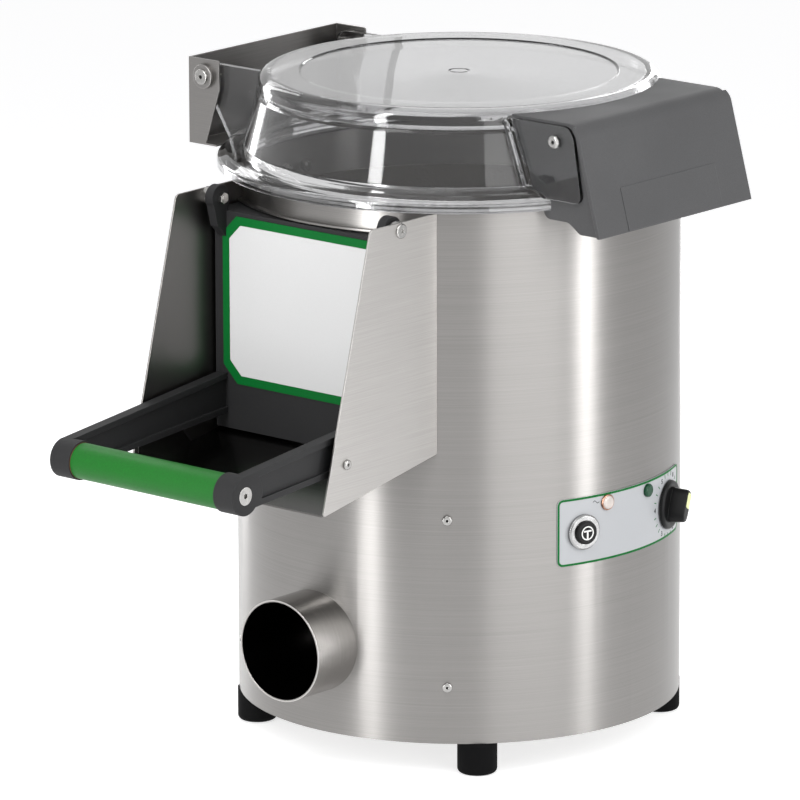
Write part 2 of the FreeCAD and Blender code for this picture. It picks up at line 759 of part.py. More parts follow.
def hanger_spots():
    return [(x, MOTOR_Y + y) for x in (-HANGER_X, HANGER_X) for y in (-HANGER_Y, HANGER_Y)]


def motor_plate():
    low = MOTOR_FOOT_Z - MOTOR_PLATE_T
    half_w = MOTOR_PLATE_W / 2
    half_d = MOTOR_PLATE_D / 2
    plate = slab([(-half_w, MOTOR_Y - half_d), (half_w, MOTOR_Y - half_d),
                  (half_w, MOTOR_Y + half_d), (-half_w, MOTOR_Y + half_d)], "xy", low, MOTOR_FOOT_Z, MOTOR_PLATE_CORNER)
    plate = plate.common(body_space(BODY_IN_R - MOTOR_PLATE_WALL_GAP, low, MOTOR_FOOT_Z))
    cuts = [rod(MOTOR_PLATE_HOLE_R, Vector(0, MOTOR_Y, low - 1), UP, MOTOR_PLATE_T + 2)]
    cuts.append(body_space(HOUSING_R + 2, low - 1, MOTOR_FOOT_Z + 1))
    for x, y in hanger_spots():
        cuts.append(rod(HANGER_R + HOLE_GAP, Vector(x, y, low - 1), UP, MOTOR_PLATE_T + 2))
    return plate.cut(cuts)


def motor_hangers():
    low = MOTOR_FOOT_Z - MOTOR_PLATE_T - HANGER_TAIL
    hangers = []
    for x, y in hanger_spots():
        stud = rod(HANGER_R, Vector(x, y, low), UP, TANK_FLOOR_Z + HANGER_CAP_H - low)
        nuts = [hexagon(NUT_AF, Vector(x, y, z), UP, SMALL_NUT_T)
                for z in (low + HANGER_TAIL - SMALL_NUT_T, MOTOR_FOOT_Z, TANK_FLOOR_Z - TANK_FLOOR_T - SMALL_NUT_T)]
        cap = rod(HANGER_CAP_R, Vector(x, y, TANK_FLOOR_Z), UP, HANGER_CAP_H)
        hangers.append(joined([stud] + nuts + [cap]))
    return group(hangers)


def motor_body():
    can = rod(MOTOR_R, Vector(0, MOTOR_Y, MOTOR_FOOT_Z), UP, MOTOR_H)
    slots = []
    for i in range(MOTOR_FIN_COUNT):
        slot = block(MOTOR_R - MOTOR_FIN_D, MOTOR_R + 1, -MOTOR_SLOT_W / 2, MOTOR_SLOT_W / 2,
                     MOTOR_FOOT_Z + MOTOR_SLOT_LOW_H, MOTOR_FOOT_Z + MOTOR_SLOT_TOP_H)
        slot.rotate(AXIS_FOOT, UP, 360 * i / MOTOR_FIN_COUNT)
        slot.translate(Vector(0, MOTOR_Y, 0))
        slots.append(slot)
    bore = rod(MOTOR_BORE_R, Vector(0, MOTOR_Y, MOTOR_FOOT_Z - 1), UP, MOTOR_BORE_H)
    return joined([can.cut(slots), motor_terminal_box()]).cut(bore)


def motor_shaft():
    low = PULLEY_Z - MOTOR_SHAFT_TIP
    return rod(MOTOR_SHAFT_R, Vector(0, MOTOR_Y, low), UP, MOTOR_FOOT_Z + MOTOR_SHAFT_TOP_H - low)


def motor_terminal_box():
    low = MOTOR_FOOT_Z + MOTOR_BOX_LOW_H
    middle = MOTOR_Y - MOTOR_BOX_SHIFT
    start = MOTOR_R - MOTOR_FIN_D
    box = block(start, start + MOTOR_BOX_D + MOTOR_FIN_D, middle - MOTOR_BOX_W / 2,
                middle + MOTOR_BOX_W / 2, low, low + MOTOR_BOX_H)
    return box.cut(rod(MOTOR_R, Vector(0, MOTOR_Y, low), UP, MOTOR_BOX_H))


# Drain
def drain_pipe():
    """Riser under the drum floor, mitred into the outlet at the front."""
    top = TANK_FLOOR_Z

    def bend(radius):
        knee = Vector(0, -DRAIN_RISER_Y, DRAIN_Z)
        riser = rod(radius, knee, UP, top - DRAIN_Z)
        outlet = rod(radius, knee, FRONT, DRAIN_MOUTH_Y - DRAIN_RISER_Y)
        return joined([riser, outlet, Part.makeSphere(radius, knee)])
    return bend(DRAIN_R).cut(bend(DRAIN_R - DRAIN_WALL))


# Chute
def chute_side():
    """Right side plate."""
    points = [(-CHUTE_INNER_Y, BODY_H), (-CHUTE_TOP_Y, BODY_H), (-CHUTE_LIP_Y, CHUTE_LIP_Z),
              (-CHUTE_INNER_Y, chute_floor_z(CHUTE_INNER_Y))]
    plate = slab(points, "yz", PLATE_IN_X, CHUTE_HALF_W, [0, 5, 2, 0])
    cuts = [body_space(BODY_R, 0, BODY_H + 1)]
    cuts.append(rod(DOOR_PIN_R + HOLE_GAP, Vector(PLATE_IN_X - 1, -HINGE_Y, HINGE_Z), RIGHT, 5))
    cuts.append(rod(BODY_SCREW_SHANK_R + HOLE_GAP, Vector(PLATE_IN_X - 1, -CHUTE_SCREW_Y, CHUTE_SCREW_Z), RIGHT, 5))
    return plate.cut(cuts)


def chute_floor():
    """Sloping tray with a turned-up edge on each side."""
    low = [(-CHUTE_INNER_Y, chute_floor_z(CHUTE_INNER_Y)), (-CHUTE_LIP_Y, CHUTE_LIP_Z)]
    high = [(y, z + SHEET) for y, z in reversed(low)]
    floor = slab(low + high, "yz", -PLATE_IN_X + HOLE_GAP, PLATE_IN_X - HOLE_GAP)
    lip = CHUTE_LIP_Y - 4
    back = CHUTE_SCREW_Y - 45
    edge = [(-lip, chute_floor_z(lip) + SHEET / 2), (-CHUTE_SCREW_Y - 12, CHUTE_LIP_Z + CHUTE_FLANGE_H + 8),
            (-CHUTE_SCREW_Y + 12, CHUTE_LIP_Z + CHUTE_FLANGE_H + 8), (-back, chute_floor_z(back) + SHEET / 2)]
    side = slab(edge, "yz", PLATE_IN_X - HOLE_GAP - 1.0, PLATE_IN_X - HOLE_GAP, [0, 6, 6, 0])
    tray = joined([floor] + both_sides(side))
    cuts = [body_space(BODY_R + HOLE_GAP, 0, BODY_H)]
    span = 2 * CHUTE_HALF_W
    cuts.append(rod(BODY_SCREW_SHANK_R + HOLE_GAP, Vector(-CHUTE_HALF_W, -CHUTE_SCREW_Y, CHUTE_SCREW_Z), RIGHT, span))
    return tray.cut(cuts)


# Door: everything here turns about the pins at HINGE_Y, HINGE_Z
def door_reach():
    """Radius about the pins that clears the chute floor."""
    drop = HINGE_Z - chute_floor_z(HINGE_Y) - SHEET
    return drop / math.hypot(1, CHUTE_FALL) - DOOR_FLOOR_GAP


def door_ear():
    ear = rod(EAR_R, Vector(EAR_FACE_X, -HINGE_Y, HINGE_Z), RIGHT, EAR_T)
    neck = [(-HINGE_Y - EAR_R + 0.4, HINGE_Z), (-HINGE_Y - 4, EAR_FOOT_Z + 10), (-DOOR_FACE_Y - 1, EAR_FOOT_Z),
            (-DOOR_FACE_Y + 1.5, EAR_FOOT_Z), (-DOOR_FACE_Y + 1.5, HINGE_Z - 12),
            (-HINGE_Y + EAR_R - 0.4, HINGE_Z)]
    return ear.fuse(slab(neck, "yz", EAR_FACE_X, EAR_FACE_X + EAR_T))


def door_panel():
    low = chute_floor_z(DOOR_FACE_Y) - 5
    top = OPENING_TOP_Z - DOOR_TOP_GAP
    panel = block(-DOOR_HALF_W, DOOR_HALF_W, -DOOR_FACE_Y, -DOOR_INNER_Y, low, top)
    sweep = rod(door_reach(), Vector(-DOOR_HALF_W, -HINGE_Y, HINGE_Z), RIGHT, 2 * DOOR_HALF_W)
    panel = panel.common(sweep)
    pocket = block(DOOR_POCKET_X, DOOR_HALF_W + 1, -DOOR_FACE_Y + DOOR_WALL, -DOOR_INNER_Y,
                   OPENING_SILL_Z + DOOR_WALL, top - DOOR_WALL)
    pocket = pocket.cut(body_space(DOOR_BACK_R + DOOR_WALL, low, top))
    panel = panel.cut(both_sides(pocket) + [body_space(DOOR_BACK_R, low - 1, top + 1)])
    door = joined([panel] + both_sides(door_ear()))
    bore = rod(DOOR_PIN_R + PIN_GAP, Vector(-CHUTE_HALF_W, -HINGE_Y, HINGE_Z), RIGHT, 2 * CHUTE_HALF_W)
    return door.cut(bore)


def chamfered_sheet(inset):
    half = LABEL_HALF_W - inset
    low = LABEL_LOW_Z + inset
    high = LABEL_HIGH_Z - inset
    cut = LABEL_CHAMFER
    return [(-half, low + cut), (-half + cut, low), (half - cut, low), (half, low + cut),
            (half, high - cut), (half - cut, high), (-half + cut, high), (-half, high - cut)]


def ear_clearance():
    gap = RUN_GAP
    ears = block(EAR_FACE_X - gap, EAR_FACE_X + EAR_T + gap, -DOOR_FACE_Y - 5, -DOOR_FACE_Y + 1,
                 EAR_FOOT_Z - gap, HINGE_Z)
    return both_sides(ears)


def door_label():
    """Sheet with cut corners, with its border standing a little proud."""
    face = -DOOR_FACE_Y
    plate = slab(chamfered_sheet(0), "xz", face - LABEL_T, face)
    window = slab(chamfered_sheet(LABEL_BORDER_W), "xz", face - LABEL_T, face - LABEL_T + LABEL_BORDER_RISE)
    return plate.cut([window] + ear_clearance())


def arm_outline(inset):
    """Side view of an arm, from the door face to the boss."""
    top = GRIP_Z + BOSS_R
    low = GRIP_Z - BOSS_R + 4
    return [(-DOOR_FACE_Y, ARM_LOW_Z + inset), (-DOOR_FACE_Y, ARM_TOP_Z - inset),
            (-GRIP_Y, top - inset), (-GRIP_Y, low + inset)]


def handle_arm():
    """Right arm with its boss."""
    inner = ARM_OUT_X - ARM_T
    beam = slab(arm_outline(0), "yz", inner, ARM_OUT_X)
    boss = rod(BOSS_R, Vector(ARM_OUT_X - BOSS_L, -GRIP_Y, GRIP_Z), RIGHT, BOSS_L)
    arm = joined([beam, boss])
    recess = (ARM_T - ARM_WEB_T) / 2
    keep = rod(BOSS_R + 4, Vector(0, -GRIP_Y, GRIP_Z), RIGHT, 2 * ARM_OUT_X)
    pockets = [slab(arm_outline(ARM_FLANGE_T), "yz", ARM_OUT_X - recess, ARM_OUT_X + 1).cut(keep),
               slab(arm_outline(ARM_FLANGE_T), "yz", inner - 1, inner + recess).cut(keep)]
    core = rod(GRIP_CORE_R, Vector(0, -GRIP_Y, GRIP_Z), RIGHT, ARM_OUT_X - 6)
    screw = grip_screw_space()
    return arm.cut(pockets + [core, screw])


def grip_screw_space():
    start = Vector(ARM_OUT_X - 6, -GRIP_Y, GRIP_Z)
    cone = Part.makeCone(3.0, 7.4, 4.4, start + RIGHT * 1.6, RIGHT)
    return rod(3.0, start, RIGHT, 6).fuse(cone)


def grip_core():
    half = ARM_OUT_X - 6
    return rod(GRIP_CORE_R, Vector(-half, -GRIP_Y, GRIP_Z), RIGHT, 2 * half)


def grip_sleeve():
    half = ARM_OUT_X - BOSS_L
    return ring(GRIP_R, GRIP_CORE_R, Vector(-half, -GRIP_Y, GRIP_Z), RIGHT, 2 * half)


def grip_screws():
    socket = hexagon(4, Vector(ARM_OUT_X - 3, -GRIP_Y, GRIP_Z), RIGHT, 4)
    return group(both_sides(grip_screw_space().cut(socket)))


def door_bushes():
    start = Vector(EAR_FACE_X + EAR_T + RUN_GAP, -HINGE_Y, HINGE_Z)
    length = PLATE_IN_X - EAR_FACE_X - EAR_T - RUN_GAP
    return group(both_sides(ring(7.5, DOOR_PIN_R, start, RIGHT, length)))


def door_pins():
    """Countersunk screws that carry the door, with the nut on the ear's inner face."""
    reach = CHUTE_HALF_W - EAR_FACE_X + 5
    start = Vector(CHUTE_HALF_W, -HINGE_Y, HINGE_Z)
    pin = rod(DOOR_PIN_R, start - RIGHT * reach, RIGHT, reach)
    head = button_head(6.2, 1.6, 2.0, start, RIGHT)
    nut = hexagon(8.5, Vector(EAR_FACE_X - RUN_GAP - 4, -HINGE_Y, HINGE_Z), RIGHT, 4)
    return group(both_sides(joined([pin, head, nut])))


def door_magnet():
    x = DOOR_POCKET_X + 3
    y = -DOOR_FACE_Y + DOOR_WALL
    low = OPENING_SILL_Z + DOOR_WALL
    return block(x, x + 20, y, y + 5, low, low + 12)


def door_sensor():
    depth = DOOR_FACE_Y - 12
    x = DOOR_POCKET_X - 8
    height = 9
    points = [(-depth, chute_floor_z(depth) - height), (-depth, chute_floor_z(depth)),
              (-depth - 26, chute_floor_z(depth + 26)), (-depth - 26, chute_floor_z(depth + 26) - height)]
    return slab(points, "yz", x, x + 30, [3, 0, 0, 3])


# Lid
def lid_profile(gap):
    """Outer outline of the lid, grown by a gap, from the flange's lower edge to the axis."""
    base = LID_BASE_Z
    return [(0, base - gap), (LID_FLANGE_R + gap, base - gap), (LID_FLANGE_R + gap, base + LID_SKIRT_H),
            (LID_FLANGE_R - 7 + gap, base + LID_FLANGE_H - 4 + gap),
            (LID_WALL_FOOT_R + 8 + gap, base + LID_FLANGE_H - 1.5 + gap),
            (LID_WALL_FOOT_R + gap, base + LID_FLANGE_H + gap),
            (LID_WALL_TOP_R + gap, base + LID_STEP_Z - 3),
            (LID_SHOULDER_R - 1.5 + gap, base + LID_STEP_Z),
            (LID_SHOULDER_R + gap, base + LID_STEP_Z + 3),
            (LID_SHOULDER_R + gap, LID_TOP_Z + gap)]


def lid_outside(gap=0.0):
    rounds = [0, 1.5, 4, 3, 2, 0, 0, 0, 0, LID_SHOULDER_ROUND]
    top = [(LID_RING_R + 1.5, LID_TOP_Z + gap), (LID_RING_R, LID_TOP_Z - LID_RING_DROP + gap),
           (0, LID_TOP_Z - LID_RING_DROP + gap)]
    return lathe(lid_profile(gap) + top, rounds + [0, 0, 0])


def lid_inside():
    base = LID_BASE_Z
    wall = LID_T
    points = [(0, base - 1), (LID_WALL_FOOT_R - wall, base - 1), (LID_WALL_FOOT_R - wall, base + LID_FLANGE_H),
              (LID_WALL_TOP_R - wall - 0.6, base + LID_STEP_Z - 3),
              (LID_SHOULDER_R - wall - 2, base + LID_STEP_Z),
              (LID_SHOULDER_R - wall - 2, LID_TOP_Z - wall), (0, LID_TOP_Z - wall - LID_RING_DROP)]
    return lathe(points, [0, 0, 4, 2, 2, LID_SHOULDER_ROUND - wall, 0])


def fin_outline():
    top = LID_TOP_Z - FIN_TOP_DROP
    low = LID_BASE_Z + FIN_LOW_RISE
    return [(FIN_ROOT_X, top), (FIN_OUT_TOP_X, top), (FIN_OUT_LOW_X, low), (FIN_ROOT_X, low)]


def lid_fin():
    """Clear side wing on the handle side."""
    fin = slab(fin_outline(), "xz", -FIN_OUT_Y, -FIN_Y, [0, 12, 6, 0])
    rib_top = LID_TOP_Z - FIN_TOP_DROP
    rib_low = LID_BASE_Z + FIN_LOW_RISE + 8
    lean = LID_WALL_FOOT_R - LID_WALL_TOP_R
    rib = slab([(FIN_RIB_X, rib_top), (FIN_RIB_X + 5, rib_top), (FIN_RIB_X + lean + 15, rib_low), (FIN_RIB_X + lean + 10, rib_low)], "xz",
               -FIN_OUT_Y - FIN_RIB_W, -FIN_Y - FIN_T / 2, 2)
    return fin.fuse(rib)


def lid_arm():
    """Clear arm that reaches into the hinge bracket."""
    top = PIVOT_Z + PIVOT_EYE_R
    eye = rod(PIVOT_EYE_R, Vector(-PIVOT_X, -LID_ARM_Y - LID_ARM_T, PIVOT_Z), -FRONT, LID_ARM_T)
    web = [(-PIVOT_X, top), (-LID_ARM_ROOT_X, top), (-LID_ARM_ROOT_X, LID_BASE_Z + LID_FLANGE_H),
           (-LID_WALL_FOOT_R + 6, LID_BASE_Z + 10), (-LID_WALL_FOOT_R + 2, LID_BASE_Z + 16),
           (-PIVOT_X, PIVOT_Z - PIVOT_EYE_R)]
    return eye.fuse(slab(web, "xz", -LID_ARM_Y - LID_ARM_T, -LID_ARM_Y))


def lid_dome():
    wings = front_and_back(lid_fin()) + front_and_back(lid_arm())
    solid = joined([lid_outside()] + wings)
    dimple = ring(LID_DIMPLE_R, LID_DIMPLE_R - 2, Vector(0, 0, LID_TOP_Z - LID_RING_DROP - 0.6), UP, 5)
    channel = ring(LID_FLANGE_R - 3, GASKET_OUT_R + 3, Vector(0, 0, LID_BASE_Z - 1), UP, LID_SKIRT_H)
    cuts = [lid_inside(), dimple, channel]
    cuts.append(cross_hole(PIVOT_PIN_R + PIN_GAP, -PIVOT_X, PIVOT_Z))
    cuts.append(cross_hole(COVER_SCREW_R + HOLE_GAP, FIN_SCREW_X, LID_TOP_Z - FIN_SCREW_DROP))
    return solid.cut(cuts)


def cover_cheek():
    """End wall of the handle cover, cut away in two steps to follow the lid."""
    low = COVER_LOW_Z
    top = COVER_TOP_Z
    rim = LID_FLANGE_R
    points = [(COVER_ROOT_X, top - COVER_T), (rim - 60, top - 36), (rim - 47, top - 38), (rim - 40, top - 62),
              (rim - 28, top - 81), (rim - 6, top - 81), (rim + 6, low), (COVER_LOW_X - 0.5, low),
              (COVER_TOP_X - 0.5, top - COVER_T)]
    inner = FIN_Y - RUN_GAP - COVER_T
    return slab(points, "xz", -inner - COVER_T, -inner, [0, 5, 5, 6, 7, 7, 7, 0, COVER_ROUND - 3])


def handle_cover():
    top = COVER_TOP_Z
    low = COVER_LOW_Z
    outer = [(COVER_ROOT_X, top), (COVER_TOP_X, top), (COVER_LOW_X, low), (COVER_LOW_X - COVER_T, low),
             (COVER_TOP_X - COVER_T * 0.8, top - COVER_T), (COVER_ROOT_X, top - COVER_T)]
    skin = slab(outer, "xz", -FIN_OUT_Y, FIN_OUT_Y, [0, COVER_ROUND, 0, 0, COVER_ROUND - COVER_T, 0])
    inner = FIN_Y - RUN_GAP
    corner = block(0, FIN_OUT_TOP_X + 1, -FIN_OUT_Y - 1, -inner, LID_BASE_Z, top + 1)
    skin = skin.cut(front_and_back(corner))
    wings = slab(fin_outline(), "xz", -FIN_OUT_Y - 1, -inner, [0, 12, 6, 0])
    skin = skin.cut(front_and_back(wings))
    cover = joined([skin] + front_and_back(cover_cheek()))
    screws = cross_hole(COVER_SCREW_R + HOLE_GAP, FIN_SCREW_X, LID_TOP_Z - FIN_SCREW_DROP)
    return cover.cut([lid_outside(HOLE_GAP), screws])


def cover_screws():
    start = Vector(FIN_SCREW_X, -FIN_OUT_Y, LID_TOP_Z - FIN_SCREW_DROP)
    head = button_head(5.6, 3.0, 1.9, start, FRONT)
    shank = rod(COVER_SCREW_R, start - FRONT * COVER_SCREW_L, FRONT, COVER_SCREW_L + 0.2)
    seat = FIN_T + RUN_GAP + COVER_T
    nut = hexagon(COVER_NUT_AF, start - FRONT * (seat + COVER_NUT_T), FRONT, COVER_NUT_T)
    return group(front_and_back(joined([head, shank, nut])))


def lid_magnet():
    z = LID_BASE_Z + LID_FLANGE_H - 4
    box = block(-LID_FLANGE_R + 5, -LID_FLANGE_R + 14, -9, 9, z, z + 9)
    return box.cut(lid_outside())


# Lid hinge
def bracket_cheek():
    back = BRACKET_BACK_X
    points = [(-back, BRACKET_LOW_Z), (-BRACKET_TOE_X, BRACKET_LOW_Z), (-BRACKET_EDGE_X, BRACKET_EDGE_Z),
              (-BRACKET_EDGE_X - 0.5, BRACKET_TOP_Z), (-back, BRACKET_TOP_Z)]
    return slab(points, "xz", -BRACKET_HALF_W, -BRACKET_HALF_W + SHEET, [0, 3, 4, 2, 0])


def hinge_bracket():
    back = BRACKET_BACK_X
    half = BRACKET_HALF_W
    wall = block(-back, -back + SHEET, -half, half, BRACKET_LOW_Z, BRACKET_TOP_Z)
    leg_half = BRACKET_LEG_HALF_W
    leg = block(-back, -back + SHEET, -leg_half, leg_half, BRACKET_LEG_FOOT_Z, BRACKET_LOW_Z + 1)
    shelf = block(-back, -BRACKET_TOE_X + 12, -half, half, BRACKET_LOW_Z, BRACKET_LOW_Z + SHEET)
    shelf = shelf.cut(body_space(LID_FLANGE_R + 3, BRACKET_LOW_Z - 1, BRACKET_LOW_Z + 3))
    bracket = joined([wall, leg, shelf] + front_and_back(bracket_cheek()))
    cuts = [cross_hole(PIVOT_PIN_R + HOLE_GAP, -PIVOT_X, PIVOT_Z)]
    for y in (-BRACKET_BOLT_Y, BRACKET_BOLT_Y):
        cuts.append(rod(BRACKET_BOLT_R + HOLE_GAP, Vector(-back - 5, y, BRACKET_BOLT_Z), RIGHT, 20))
    return bracket.cut(cuts)


def bracket_standoff():
    half = BRACKET_LEG_HALF_W
    pad = block(-BRACKET_BACK_X + SHEET, -150, -half, half, BRACKET_LEG_FOOT_Z, BRACKET_LEG_FOOT_Z + 36)
    cuts = [body_space(BODY_R, 0, BODY_H)]
    for y in (-BRACKET_BOLT_Y, BRACKET_BOLT_Y):
        cuts.append(rod(BRACKET_BOLT_R + HOLE_GAP, Vector(-BRACKET_BACK_X, y, BRACKET_BOLT_Z), RIGHT, 60))
    return pad.cut(cuts)


def bracket_bolts():
    bolts = []
    for y in (-BRACKET_BOLT_Y, BRACKET_BOLT_Y):
        start = Vector(-BRACKET_BACK_X, y, BRACKET_BOLT_Z)
        head = button_head(5.4, 3.2, 1.9, start, -RIGHT)
        reach = BRACKET_BACK_X - BODY_IN_R + 8
        shank = rod(BRACKET_BOLT_R, start - RIGHT * 0.2, RIGHT, reach)
        nut = hexagon(10, Vector(-BODY_IN_R + 1.4, y, BRACKET_BOLT_Z), RIGHT, 5)
        bolts.append(joined([head, shank, nut]))
    return group(bolts)


def pivot_screws():
    outside = BRACKET_HALF_W + WASHER_T
    start = Vector(-PIVOT_X, -outside, PIVOT_Z)
    head = button_head(6.6, 2.0, 2.1, start, FRONT)
    reach = outside - LID_ARM_Y + 7
    pin = rod(PIVOT_PIN_R, start - FRONT * reach, FRONT, reach + 0.2)
    nut = hexagon(NUT_AF, Vector(-PIVOT_X, -LID_ARM_Y + RUN_GAP, PIVOT_Z), -FRONT, 5)
    return group(front_and_back(joined([head, pin, nut])))


def pivot_washers():
    start = Vector(-PIVOT_X, -BRACKET_HALF_W - WASHER_T, PIVOT_Z)
    washer = ring(WASHER_R, PIVOT_PIN_R, start, -FRONT, WASHER_T)
    rim = [e for e in washer.Edges if abs(e.CenterOfMass.y - start.y) < 1e-6 and e.Curve.Radius > PIVOT_PIN_R + 1]
    return group(front_and_back(washer.makeFillet(1.2, rim)))


def lid_sensor():
    back = -BRACKET_BACK_X + SHEET
    low = BRACKET_LOW_Z + SHEET
    return block(back, back + 8, -16, 16, low, low + 13)


# Control panel
def panel_sheet(inset):
    """Curved sheet on the wall, cut out of a ring by an outline with round corners."""
    half = BODY_R * math.sin(math.radians(PANEL_ARC / 2)) - inset
    low = PANEL_LOW_Z + inset
    high = PANEL_HIGH_Z - inset
    cutter = slab([(-half, low), (half, low), (half, high), (-half, high)], "xz", -BODY_R - 5, 0,
                  PANEL_CORNER)
    cutter.rotate(AXIS_FOOT, UP, PANEL_AZ)
    glue = 0.05
    return ring(BODY_R + PANEL_T, BODY_R + glue, Vector(0, 0, low - 1), UP, high - low + 2).common(cutter)


def panel_cutouts():
    cuts = [wall_hole(BUTTON_HOLE_R, BUTTON_AZ, BUTTON_Z)]
    for azimuth in (CLEAR_LAMP_AZ, GREEN_LAMP_AZ):
        cuts.append(wall_hole(LAMP_BODY_R, azimuth, LAMP_Z))
    cuts.append(wall_hole(KNOB_STEM_HOLE_R, KNOB_AZ, KNOB_Z))
    return cuts


def panel_label():
    return panel_sheet(0).cut(panel_cutouts())


def button_bezel():
    flange = rod(BEZEL_R, Vector(0, 0, PANEL_SEAT), UP, BEZEL_H)
    rim = [e for e in flange.Edges if abs(e.CenterOfMass.z - PANEL_SEAT - BEZEL_H) < 1e-6]
    flange = flange.makeChamfer(1.2, rim)
    sleeve = rod(BUTTON_HOLE_R - HOLE_GAP, Vector(0, 0, -12), UP, 12 + PANEL_SEAT + 1)
    bezel = flange.fuse(sleeve).cut(rod(CAP_R + RUN_GAP, Vector(0, 0, -14), UP, 30))
    return on_wall(bezel, BUTTON_AZ, BUTTON_Z)


def button_cap():
    top = PANEL_SEAT + BEZEL_H + CAP_PROUD
    cap = rod(CAP_R, Vector(0, 0, -6), UP, top + 6)
    rim = [e for e in cap.Edges if abs(e.CenterOfMass.z - top) < 1e-6]
    return on_wall(cap.makeFillet(1.2, rim), BUTTON_AZ, BUTTON_Z)


def switch_block():
    half = SWITCH_W / 2
    start = -12 - BUTTON_TRAVEL
    block_shape = block(-half, half, -half, half, start - SWITCH_D, start)
    collar = rod(BUTTON_HOLE_R + 3, Vector(0, 0, start), UP, 12 + BUTTON_TRAVEL - 4)
    collar = collar.cut(rod(BUTTON_HOLE_R, Vector(0, 0, start - 1), UP, 30))
    return on_wall(block_shape.fuse(collar), BUTTON_AZ, BUTTON_Z)


def lamp(azimuth, dome_h):
    points = [(0, -LAMP_BODY_L), (LAMP_BODY_R - HOLE_GAP, -LAMP_BODY_L), (LAMP_BODY_R - HOLE_GAP, PANEL_SEAT),
              (LAMP_R, PANEL_SEAT), (LAMP_R, PANEL_T + dome_h), (0, PANEL_T + dome_h)]
    return on_wall(lathe(points, [0, 0, 0, 0, dome_h * 0.6, 0]), azimuth, LAMP_Z)


def clear_lamp():
    return lamp(CLEAR_LAMP_AZ, LAMP_H)


def green_lamp():
    return lamp(GREEN_LAMP_AZ, LAMP_H)


def timer_body():
    half = TIMER_W / 2
    can = block(-half, half, -half, half, -TIMER_D - 6, -6)
    return on_wall(can.cut(rod(KNOB_STEM_R + PIN_GAP, Vector(0, 0, -22), UP, 30)), KNOB_AZ, KNOB_Z)


def timer_knob():
    seat = PANEL_T + RUN_GAP + 0.2
    skirt = rod(KNOB_SKIRT_R, Vector(0, 0, seat), UP, KNOB_SKIRT_H)
    rim = [e for e in skirt.Edges if abs(e.CenterOfMass.z - seat - KNOB_SKIRT_H) < 1e-6]
    skirt = skirt.makeChamfer(1.5, rim)
    hub = rod(KNOB_BAR_R, Vector(0, 0, seat), UP, KNOB_H)
    bar = hub.common(block(-KNOB_BAR_W / 2, KNOB_BAR_W / 2, -KNOB_SKIRT_R, KNOB_SKIRT_R, seat, seat + KNOB_H))
    stem = rod(KNOB_STEM_R, Vector(0, 0, -20), UP, 20 + seat + 1)
    knob = joined([skirt, bar, stem]).cut(pointer_space(seat))
    return on_wall(knob, KNOB_AZ, KNOB_Z)


def pointer_space(seat):
    return block(-1.6, 1.6, 2, KNOB_SKIRT_R, seat + KNOB_H - 1.5, seat + KNOB_H + 1)


def knob_pointer():
    seat = PANEL_T + RUN_GAP + 0.2
    limit = rod(KNOB_BAR_R, Vector(0, 0, seat), UP, KNOB_H)
    return on_wall(pointer_space(seat).common(limit), KNOB_AZ, KNOB_Z)


# Rear fittings
def water_inlet():
    out = -FRONT
    start = Vector(0, BODY_R, INLET_Z)
    nut = hexagon(INLET_NUT_AF, start + out * 0.4, out, INLET_NUT_T - 0.4)
    stub = rod(INLET_R, start + out * INLET_NUT_T, out, INLET_L)
    neck = rod(INLET_NECK_R - HOLE_GAP, start - out * INLET_NECK_L, out, INLET_NECK_L + INLET_NUT_T)
    fitting = joined([nut, stub, neck])
    return fitting.cut(rod(INLET_BORE_R - 1, start - out * 10, out, DRILL_L))


def spray_nozzle():
    start = Vector(0, BODY_R - INLET_NECK_L, INLET_Z)
    body = rod(NOZZLE_R, start, FRONT, NOZZLE_L)
    slot = block(-NOZZLE_R, NOZZLE_R, start.y - NOZZLE_L + 4, start.y - NOZZLE_L + 8, INLET_Z - NOZZLE_R - 1,
                 INLET_Z - 4)
    return body.cut([slot, rod(INLET_BORE_R - 1, start, FRONT, NOZZLE_L - 5)])


def cable_gland():
    out = outward(GLAND_AZ)
    start = around(GLAND_AZ, BODY_R, GLAND_Z)
    nut = hexagon(GLAND_AF, start, out, GLAND_NUT_T)
    dome = rod(GLAND_R, start + out * GLAND_NUT_T, out, GLAND_L - GLAND_NUT_T)
    neck = rod(GLAND_R - HOLE_GAP, start - out * GLAND_NECK_L, out, GLAND_NECK_L)
    return joined([nut, dome, neck]).cut(wall_hole(GLAND_BORE_R, GLAND_AZ, GLAND_Z))


def electronics_box():
    """Box for the relay and its terminals, on the base behind the control panel."""
    x0 = RELAY_BOX_OUT_X - RELAY_BOX_W
    y0 = RELAY_BOX_BACK_Y - RELAY_BOX_D
    wall = RELAY_BOX_WALL
    top = BASE_T + RELAY_BOX_H
    box = block(x0, RELAY_BOX_OUT_X, y0, RELAY_BOX_BACK_Y, BASE_T, top)
    inner = block(x0 + wall, RELAY_BOX_OUT_X - wall, y0 + wall, RELAY_BOX_BACK_Y - wall, BASE_T + wall, top - wall)
    middle = Vector(x0 + RELAY_BOX_W / 3, y0 + RELAY_BOX_D / 2, top - 2 * wall)
    return box.cut([inner, rod(RELAY_BOX_HOLE_R, middle, UP, 4 * wall)])


